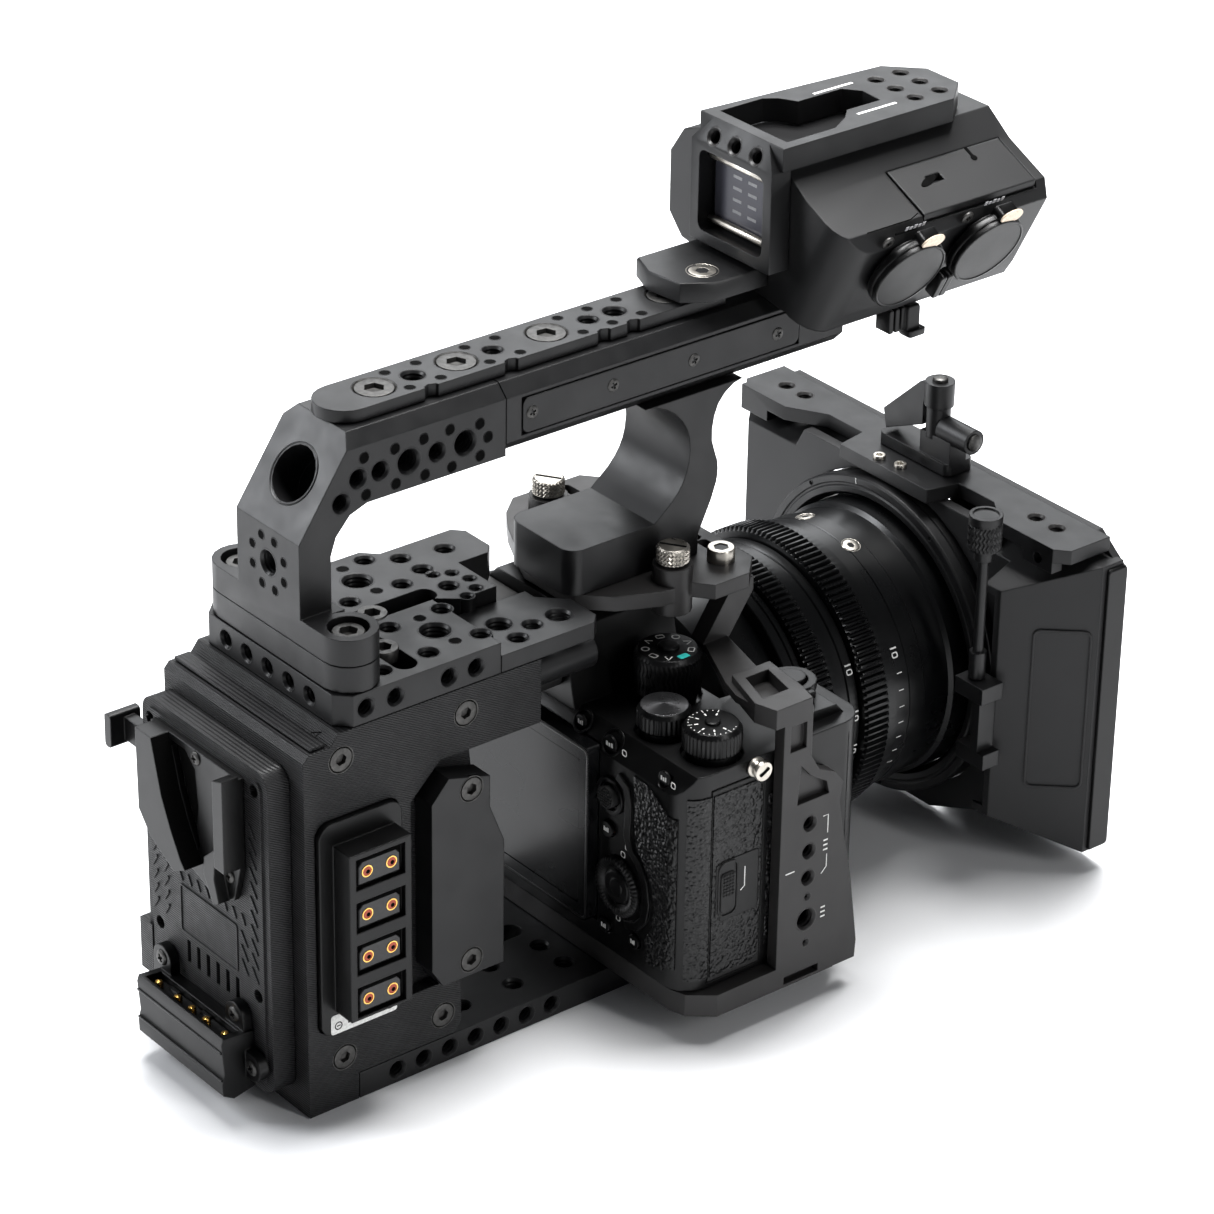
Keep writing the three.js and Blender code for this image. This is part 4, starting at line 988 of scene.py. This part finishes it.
def corner_band(start, first, last, end):
    """A thin covering bent round the camera's corner, seen from above: arc angles and straight ends."""
    x, y, radius = CORNER

    def arc(reach):
        steps = [polar(reach, first + (last - first) * i / 8) for i in range(9)]
        return [(x + dx, y + dy) for dx, dy in steps]

    return start[:1] + arc(radius + 0.43) + end + arc(radius - 0.2)[::-1] + start[1:]


def thumb_ridge():
    """The moulded ridge beside the controls and the rims of the joystick and buttons."""
    back = place(BACK, 0, CAMERA_BACK, 0)
    ridge = Piece("thumb_ridge")
    path = ((36.2, 72.6), (40.0, 70.4), (41.0, 66.5), (41.0, 61), (40.6, 55.6), (42.2, 51.8), (45.8, 49.2),
            (48.6, 44.4), (49.6, 38.2), (48.6, 32.6), (45.2, 28.9), (40.6, 27.4))
    ridge.strip(back, path, 2.6, -0.2, 0.75)
    x, z = JOYSTICK
    ridge.frame(place(BACK, x, CAMERA_BACK, z), circle(5.6, 28), circle(4.3, 28), -0.1, 0.8)
    slope = ((0, -0.82, 0.57), (0, 0.57, 0.82))
    for x, z, radius in ((17.5, 80.3, 2.9), (30.8, 79.4, 3.4)):
        ridge.frame(place(slope, x, 103.4, z), circle(radius + 0.7, 26), circle(radius, 26), -0.6, 0.5)
    ridge.done(SHELL)


def thumb_pad():
    """The leather under the thumb and round the camera's corner, up to the card door."""
    back = place(BACK, 0, CAMERA_BACK, 0)
    pad = Piece("thumb_pad")
    outline = [(43.0, 75.6), (47.5, 75.2), (52.5, 73.4), (57.2, 70.0), (57.6, 56), (57.6, 22.0),
               (56.8, 20.5), (50, 19.0), (49.0, 26.4), (51.8, 31), (52.8, 38), (51.6, 45), (47.6, 50.4),
               (44.6, 54), (43.8, 60), (43.6, 68)]
    pad.slab(back, outline, -0.1, 0.45)
    flat = CAMERA_BACK - 0.43
    above = place(TOP, 0, 0, 0)
    bend = corner_band([(56.0, flat), (56.0, flat + 0.6)], -math.pi / 2, -1.10, [])
    pad.slab(above, bend, 22.0, 69.6)
    side = CAMERA_SIDE + 0.43
    bend = corner_band([], -0.80, 0.0, [(side, 109.5), (side - 0.6, 109.5)])
    pad.slab(above, bend, 18.8, 76.2)
    pad.done(LEATHER)


def card_door_trim():
    """The door's leather, its plain panel, the ribbed latch and an arrow."""
    door = Piece("door_covering")
    cover = [(-8.7, -28.7), (6.4, -28.7), (8.4, -26.7), (8.4, 26.7), (6.4, 28.7), (-8.7, 28.7)]
    door.slab(place(RIGHT, 65.2, 119.0, 47.5), cover, -0.05, 0.4, 0.15)
    door.done(LEATHER, body="card_door")
    plain = Piece("door_plain_panel")
    plain.slab(place(RIGHT, 65.6, 119.8, 45.2), rounded(13.6, 19.0, 1.0), -0.1, 0.22, 0.1)
    plain.done(SHELL, body="card_door", slot="rubber")
    latch = Piece("door_latch")
    border = (rounded(7.0, 17.4, 2.6), rounded(6.0, 16.4, 2.1))
    latch.frame(place(RIGHT, 65.8, 115.6, 45.7), *border, -0.2, 0.35)
    latch.slab(place(RIGHT, 65.75, 115.6, 44.6), rounded(5.2, 12.6, 1.4), -0.2, 0.55, 0.3)
    for i in range(4):
        for j in range(7):
            spot = place(RIGHT, 66.3, 114.0 + i * 1.05, 43.8 + j * 1.05)
            latch.slab(spot, circle(0.32, 8), -0.05, 0.3)
    latch.done(RUBBER, body="card_door")
    arrow = Piece("door_arrow")
    arrow.strip(place(RIGHT, 65.83, 0, 0), ((121.6, 50.6), (121.6, 44.4), (120.2, 43.4)), 0.35, -0.02, 0.05)
    arrow.done(WHITE, body="card_door", slot="rubber")


def grip_covering():
    grip = Piece("grip_covering")
    grip.slab(place(((6, 5, 0), (0, 0, 1)), 62.5, 161, 50), rounded(6.6, 62, 2.4), -0.05, 0.3)
    grip.slab(place(RIGHT, 65, 129.6, 0), [(0.2, 22), (1.6, 22), (1.6, 70), (0.2, 70)], -0.05, 0.25)
    grip.done(LEATHER)


def back_marks():
    """Generic signs on the camera's buttons and beside them."""
    marks = Piece("back_marks")
    for x, z in ((38.4, 80.5), (59.2, 80.0), (40.4, 51.6), (37.0, 27.4), (50.6, 27.6), (38.6, 48.6)):
        at = place(BACK, x, CAMERA_BACK - 0.02, z)
        marks.frame(at, rounded(1.9, 1.9, 0.5, 2), rounded(1.4, 1.4, 0.4, 2), -0.02, 0.06)
    for node, (x, z, face, width) in BUTTON_MARKS.items():
        at = place(BACK, x, face, z)
        for i in range(3):
            step = width / 3
            mark = Piece(f"{node}_mark_{i}")
            low = -width / 2 + i * step
            mark.box(at, low, low + step * 0.7, -0.7, 0.7 - 0.3 * (i % 2), -0.02, 0.05)
            mark.done(WHITE, body=node)
    marks.done(WHITE)


def joystick_dimples():
    dimples = Piece("joystick_dimples")
    x, z = JOYSTICK
    for i in range(-3, 4):
        for j in range(-3, 4):
            if i * i + j * j <= 10:
                at = place(BACK, x + i * 0.85, 98.8, z + j * 0.85, 0.785)
                dimples.rings(at, dimples.hoops([(0.52, -0.05), (0.2, 0.55)], 4))
    dimples.done(RUBBER, body="joystick")


def strap_lug():
    """The round eye that holds a neck strap."""
    piece = Piece("strap_lug_eye")
    at = place(RIGHT, CAMERA_SIDE + 0.3, *STRAP_LUG)
    piece.turned(at, [
        (2.9, 0), (2.9, 0.5), (2.2, 0.9), (2.0, 1.6), (2.6, 2.2), (3.0, 3.0), (2.8, 3.7), (0.1, 4.0),
    ], 28)
    piece.done(NICKEL, stand_in="strap_lug")
    # painted shade: a dark sheet in the eye's slit stands for the darkness through it
    gap_shade = Piece("strap_lug_slit")
    gap_shade.slab(place(RIGHT, CAMERA_SIDE + 4.2, *STRAP_LUG, 0.5), rounded(3.6, 1.0, 0.45, 3), -0.3, 0.14)
    gap_shade.done(DARK_SHADE_SEAM_INK, slot="nickel_steel")


def screen_trim():
    piece = Piece("screen_border")
    at = place(BACK, -12.2, 97.4, 50)
    piece.frame(at, rounded(79.0, 54.6, 2.0), rounded(77.4, 53.0, 1.6), -0.05, 0.12)
    piece.done(SHELL, slot="coated_glass")
    glass = Piece("screen_glass_pane")
    glass.slab(place(BACK, -12.3, 97.85, 50), rounded(71.0, 45.6, 1.0), -0.02, 0.3, 0.1)
    glass.done(SCREEN)


# ---- lens and matte box ----


def lens_gears():
    for node, radius, low, high in (("focus_ring", 44.2, 194.0, 206.0), ("iris_ring", 43.2, 177.0, 186.8)):
        piece = Piece(node + "_gear")
        width = high - low
        rows = [
            (radius - 1.3, 0.0), (radius - 1.2, radius - 0.1, 0.4),
            (radius - 1.2, radius, 0.8), (radius - 1.2, radius, width * 0.64),
            (radius - 1.2, radius - 0.3, width * 0.70), (radius - 1.1, width * 0.74),
            (radius - 1.2, width),
        ]
        piece.ribbed(place(FRONT, LENS[0], low, LENS[1]), rows, 132, 4)
        piece.done(GLOSS, body=node, stand_in=node, smooth=30)


def lens_body():
    """The barrel and the adapter ring, turned finely with their steps and grooves."""
    axis = place(FRONT, LENS[0], 0, LENS[1])
    barrel = Piece("lens_barrel_turned")
    steps = [
        (24, 141.3), (30, 141.3), (36, 152), (36, 171), (40.1, 171), (40.4, 171.3), (40.4, 173.6),
        (39.9, 173.9), (39.9, 174.4), (40.4, 174.7), (40.4, 176.3), (40.1, 176.6), (39, 176.6),
        (39, 187.2), (40.7, 187.2), (41, 187.5), (41, 189.4), (40.5, 189.7), (40.5, 190.2), (41, 190.5),
        (41, 193.3), (40.7, 193.6), (40, 193.6), (40, 206.4), (41.3, 206.4), (41.6, 206.7), (41.6, 211.9),
        (41.3, 212.1), (41.3, 212.4), (41.6, 212.6), (41.6, 218), (40.8, 218.8), (40.8, 228), (42, 229),
        (42, 243), (38, 243), (34, 222), (24, 218),
    ]
    barrel.ring(axis, steps, 144)
    barrel.done(GLOSS, stand_in="lens_barrel", smooth=28)
    collar = Piece("adapter_ring_turned")
    collar.ring(axis, [
        (42.4, 236), (43.8, 233.6), (45.6, 233.4), (46.0, 233.8), (46.6, 233.8), (46.9, 233.4),
        (48.8, 233.4), (49.3, 234), (49.3, 237), (48.7, 238), (48.7, 245.4), (42.4, 245.4),
    ], 144)
    collar.done(BLACK, stand_in="adapter_ring", smooth=28)
    holes = Holes("ring_holes")
    for angle in (1.05, 2.2, -0.35, -1.4):
        holes.add(on_ring(angle), 0.6)
    holes.done()


def on_ring(angle, turn=0.0):
    """A place on the adapter ring's rear face."""
    dx, dz = polar(HOLE_RING, angle)
    return place(BACK, LENS[0] + dx, RING_FACE, LENS[1] + dz, turn)


def on_lens(y, angle, radius):
    """A place on the lens barrel: the angle runs from the rig's right-hand side up over the top."""
    dx, dz = polar(1, angle)
    return place(((dx, 0, dz), (0, 1, 0)), LENS[0] + radius * dx, y, LENS[1] + radius * dz)


def lens_marks():
    marks = Piece("lens_marks")
    for i in range(7):
        marks.box(on_lens(209.3, 0.30 - i * 0.125, 41.6), -0.14, 0.14, -0.9, 0.9, -0.05, 0.06)
    spots = [(192.1, angle, 41.0) for angle in (0.45, 0.11, -0.16)] + [(208.9, 0.45, 41.6)]
    for y, angle, radius in spots:
        at = on_lens(y, angle, radius)
        marks.box(at, -1.5, -1.0, -1.1, 1.1, -0.05, 0.1)
        loop = moved(at, 0.8, 0)
        marks.frame(loop, rounded(1.8, 2.2, 0.6, 3), rounded(1.0, 1.4, 0.3, 3), -0.05, 0.1)
    marks.box(on_ring(1.75, 0.18), -0.2, 0.2, -0.9, 0.9, -0.05, 0.08)
    marks.done(WHITE, slot="anodised_metal")
    screws = Piece("lens_screws")
    for y, angle, radius in LENS_SCREWS:
        countersunk(screws, on_lens(y, angle, radius), 2.7, 0.95)
    screws.done(NICKEL)


def matte_box_trim():
    """The hood's blank side panel, the clamp's pins and the side screw's knurl."""
    panel = Piece("hood_panel")
    slope = 19 / 21
    width, height, middle = HOOD_PANEL
    at = place(((1, -slope, 0), (0, 0, 1)), 47 + (244.5 - 231) * slope, 244.5, middle)
    panel.frame(at, rounded(width, height, 2.4), rounded(width - 1.4, height - 1.4, 1.8), -0.2, 0.45)
    panel.done(HOOD)
    rim = Piece("hood_rim")
    for face, edge in ((RIGHT, 66), (LEFT, -86)):
        rim.slab(place(face, edge, 257.2, 53.5), rounded(7.2, 92.4, 1.0, 3), -0.2, 1.1, 0.5)
    rim.done(SHELL, slot="printed_polymer")
    pins = Piece("clamp_pins")
    pins.turned(place(TOP, -2, 249.5, 134.4), [(2.3, -0.2), (2.3, 0.9), (1.9, 1.2), (0.1, 1.3)], 24)
    pins.turned(place(RIGHT, 13.4, 249.5, 120.4), [(2.6, -0.4), (2.6, 0.5), (2.2, 0.8), (0.1, 0.9)], 24)
    pins.done(STEEL, slot="anodised_metal")
    knurl = Piece("side_screw_knurl")
    rows = [(4.4, 0)] + [(4.55, 4.95, 0.5 + i * 1.15) for i in range(7)] + [(4.4, 8.0)]
    knurl.ribbed(place(TOP, 43.6, 226.6, 106.2), rows, 26, 2, 0.5)
    knurl.done(BLACK, body="side_lock_screw", smooth=25)


# ---- audio unit ----


def audio_screen():
    """The screen's pane, its plain readout and the two bright rods beside it."""
    rods = Piece("screen_rods")
    for z in (223.4, 204.8):
        rods.turned(place(RIGHT, -8.8, 166.2, z), [(0.9, 0), (1.1, 0.3), (1.1, 25.9), (0.9, 26.2)], 16)
    rods.done(NICKEL)
    glass = Piece("audio_screen_pane")
    glass.slab(place(BACK, 4.3, 167.2, 214.2), rounded(24.4, 21.4, 1.2), -0.02, 0.25, 0.1)
    glass.done(LCD)
    readout = Piece("screen_readout")
    for i in range(4):
        for j in range(2 + i % 2):
            at = place(BACK, 1.5 + j * 6.2, 166.93, 219.6 - i * 3.4)
            readout.box(at, -1.8, 1.8, -0.45, 0.45, -0.02, 0.03)
    readout.done(GREY_MARK, slot="coated_glass")


def audio_mount():
    """White lines on the audio cage and the bracket under it."""
    lines = Piece("cage_lines")
    for x in (-3.2, 14.9):
        lines.box(place(TOP, x, 204.2, AUDIO_TOP), -0.5, 0.5, -7.0, 7.0, -0.05, 0.06)
    lines.done(WHITE, slot="anodised_metal")
    bracket = Piece("audio_bracket_body")
    foot = [(-13, 168.4), (-13, 144), (-4, 140.5), (8, 142), (13, 150), (13, 168.4)]
    bracket.slab(place(TOP, 0, 0, 0), foot, 191.6, 197.2, 0.7)
    bracket.done(BLACK, stand_in="audio_bracket")


def connectors():
    """Rims, pull tags, screws and generic labels of the two capped connectors."""
    caps = Piece("connector_rims")
    tags = Piece("connector_tags")
    bolts = Piece("connector_bolts")
    labels = Piece("connector_labels")
    for node_y in (192.6, 221.2):
        at = place(AUDIO_SIDE, 39.1, node_y, 201.1)
        caps.ring(at, [(11.5, 1.4), (11.9, 2.6), (11.9, 3.6), (11.5, 3.9)], 48)
        caps.ring(at, [(11.5, 4.7), (11.45, 5.3), (10.9, 5.42), (10.7, 5.25), (10.7, 4.7)], 48)
        caps.slab(moved(at, 2.5, 11.2), rounded(7.0, 5.0, 1.2), 0.8, 4.6, 0.4)
        oval = [(x * 1.55, y) for x, y in circle(2.5, 30)]
        tags.slab(moved(at, 2.8, 12.6, 4.6), oval, 0, 0.5, 0.15)
        cross_screw(bolts, moved(at, -9.2, 11.4, 0.1), 1.9, 0.5)
        for i in range(5):
            spot = moved(at, -4.6 + i * 1.5, 15.6, 0.3)
            labels.box(spot, -0.5, 0.5, -0.7, 0.7 - 0.35 * (i % 2), -0.05, 0.1)
    caps.done(SHELL, slot="cap_polymer")
    tags.done(CREAM)
    bolts.done(STEEL)
    labels.done(GREY_MARK)


def lower_latch():
    """Ribs and a hook under the unit, and the small latches between the caps."""
    clip = Piece("lower_latch")
    for y in (201.2, 203.4, 205.6):
        clip.slab(place(RIGHT, 22.5, y, 177.0), rounded(1.5, 7.0, 0.4, 2), 0, 5.6, 0.2)
    clip.slab(place(RIGHT, 24.0, 208.6, 176.2), rounded(4.6, 9.0, 0.8, 3), 0, 5.0, 0.4)
    clip.slab(place(BELOW, 27.6, 209.4, 172.4), rounded(5.0, 6.0, 0.8, 3), -1.0, 1.0, 0.3)
    for y in (206.0, 208.4):
        clip.slab(place(AUDIO_SIDE, 39.3, y, 192.0), rounded(2.2, 8.6, 0.8, 3), -1.0, 2.4, 0.4)
    clip.done(SHELL, slot="cap_polymer")


def audio_seams():
    seam = Piece("audio_seams")
    side = place(AUDIO_SIDE, 37.1, 0, 197.2)
    seam.strip(side, ((172.6, 23.4), (188.0, 23.4), (189.6, 25.4)), 0.35, -0.1, 0.06)
    seam.strip(side, ((184.6, 18.8), (191.8, 18.8)), 0.9, -0.1, 0.25)
    seam.done(DARK_SHADE_SEAM_INK, slot="cap_polymer")


def cover_notch():
    """Painted shade in the control cover's finger notch and hole, and a dark line on the cover, all of which
    lift with it.
    """
    notch = Piece("cover_notch")
    slope = ((0.414, 0, 0.910), (0.910, 0, -0.414))
    lens_shape = [(x * 3.4, y * 1.15) for x, y in circle(1.0, 24)]
    # painted shade: dark sheets in the finger notch and the hole
    notch.slab(place(slope, 32.6, 208, 218.87, 0.35), lens_shape, 0.0, 0.12)
    notch.slab(place(slope, 30.0, 227, 220.05), circle(1.0, 18), 0, 0.1)
    notch.box(place(slope, 28.2, 227, 220.87), -0.5, 0.5, -2.2, 2.2, 0, 0.1)
    notch.done(DARK_SHADE_SEAM_INK, body="audio_cover", slot="cap_polymer")


# ---- build ----

dress_nodes()
plate_threads()
handle_threads()
cage_threads()
dark_screws()
socket_screws()
cross_screws()
plate_relief()
battery_contacts()
power_outlets()
cover_seam()
thumb_screws()
dials()
mode_dial_marks()
exposure_dial_marks()
control_wheel()
thumb_ridge()
thumb_pad()
card_door_trim()
grip_covering()
back_marks()
joystick_dimples()
strap_lug()
screen_trim()
lens_gears()
lens_body()
lens_marks()
matte_box_trim()
audio_screen()
audio_mount()
connectors()
lower_latch()
audio_seams()
cover_notch()


# ---- floor, light and camera ----


def floor():
    shape = bmesh.new()
    reach = 3.0
    corners = [(-reach, -reach), (reach, -reach), (reach, reach), (-reach, reach)]
    shape.faces.new([shape.verts.new((x, y, -0.0002)) for x, y in corners])
    mesh = bpy.data.meshes.new("floor")
    shape.to_mesh(mesh)
    shape.free()
    look = Finish("floor_white", (0.86, 0.865, 0.875), 0.55, wear=(120.0, 0.03))
    mesh.materials.append(look.material)
    thing = added("floor", mesh)


def softbox(name, location, target, size, power, colour=(1, 1, 1)):
    data = bpy.data.lights.new(name, "AREA")
    data.shape = "RECTANGLE"
    data.size, data.size_y = size
    data.energy = power
    data.color = colour
    thing = added(name, data)
    thing.location = location
    direction = Vector(target) - Vector(location)
    thing.rotation_euler = direction.to_track_quat("-Z", "Y").to_euler()


def light():
    world = bpy.data.worlds.new("studio")
    bpy.context.scene.world = world
    world.use_nodes = True
    background = world.node_tree.nodes["Background"]
    background.inputs["Color"].default_value = (0.93, 0.95, 1.0, 1)
    background.inputs["Strength"].default_value = 0.15
    middle = (0, 0, 0.1)
    softbox("overhead", (-0.25, 0.25, 1.5), middle, (0.9, 0.7), 58.0)
    softbox("front_left", (-1.3, 1.1, 1.1), middle, (1.3, 0.8), 12.0, (0.96, 0.98, 1.0))
    softbox("left_strip", (-0.9, -0.9, 0.8), middle, (0.35, 0.9), 16.0, (0.95, 0.97, 1.0))
    softbox("right_strip", (1.5, 0.35, 0.75), middle, (0.16, 0.9), 8.0)
    scene = bpy.context.scene
    scene.view_settings.view_transform = "Standard"
    scene.view_settings.look = "None"
    scene.view_settings.gamma = 0.9


def camera():
    """The viewpoint: behind the rig, to its right and above it, with a long lens."""
    azimuth, elevation, roll = (math.radians(angle) for angle in (50.866, 28.166, 0.996))
    turn = Matrix.Rotation(azimuth, 4, "Z") @ Matrix.Rotation(math.pi / 2 - elevation, 4, "X")
    data = bpy.data.cameras.new("camera")
    data.lens = 134.35
    data.sensor_width = 36.0
    data.shift_x = -0.0052
    data.shift_y = -0.0012
    data.clip_start = 0.05
    data.clip_end = 20
    thing = added("camera", data)
    x, y, z = EYE
    eye = Matrix.Translation(Vector((x, y - ORIGIN_Y, z)) * MM)
    thing.matrix_world = eye @ turn @ Matrix.Rotation(roll, 4, "Z")
    bpy.context.scene.camera = thing


floor()
light()
camera()
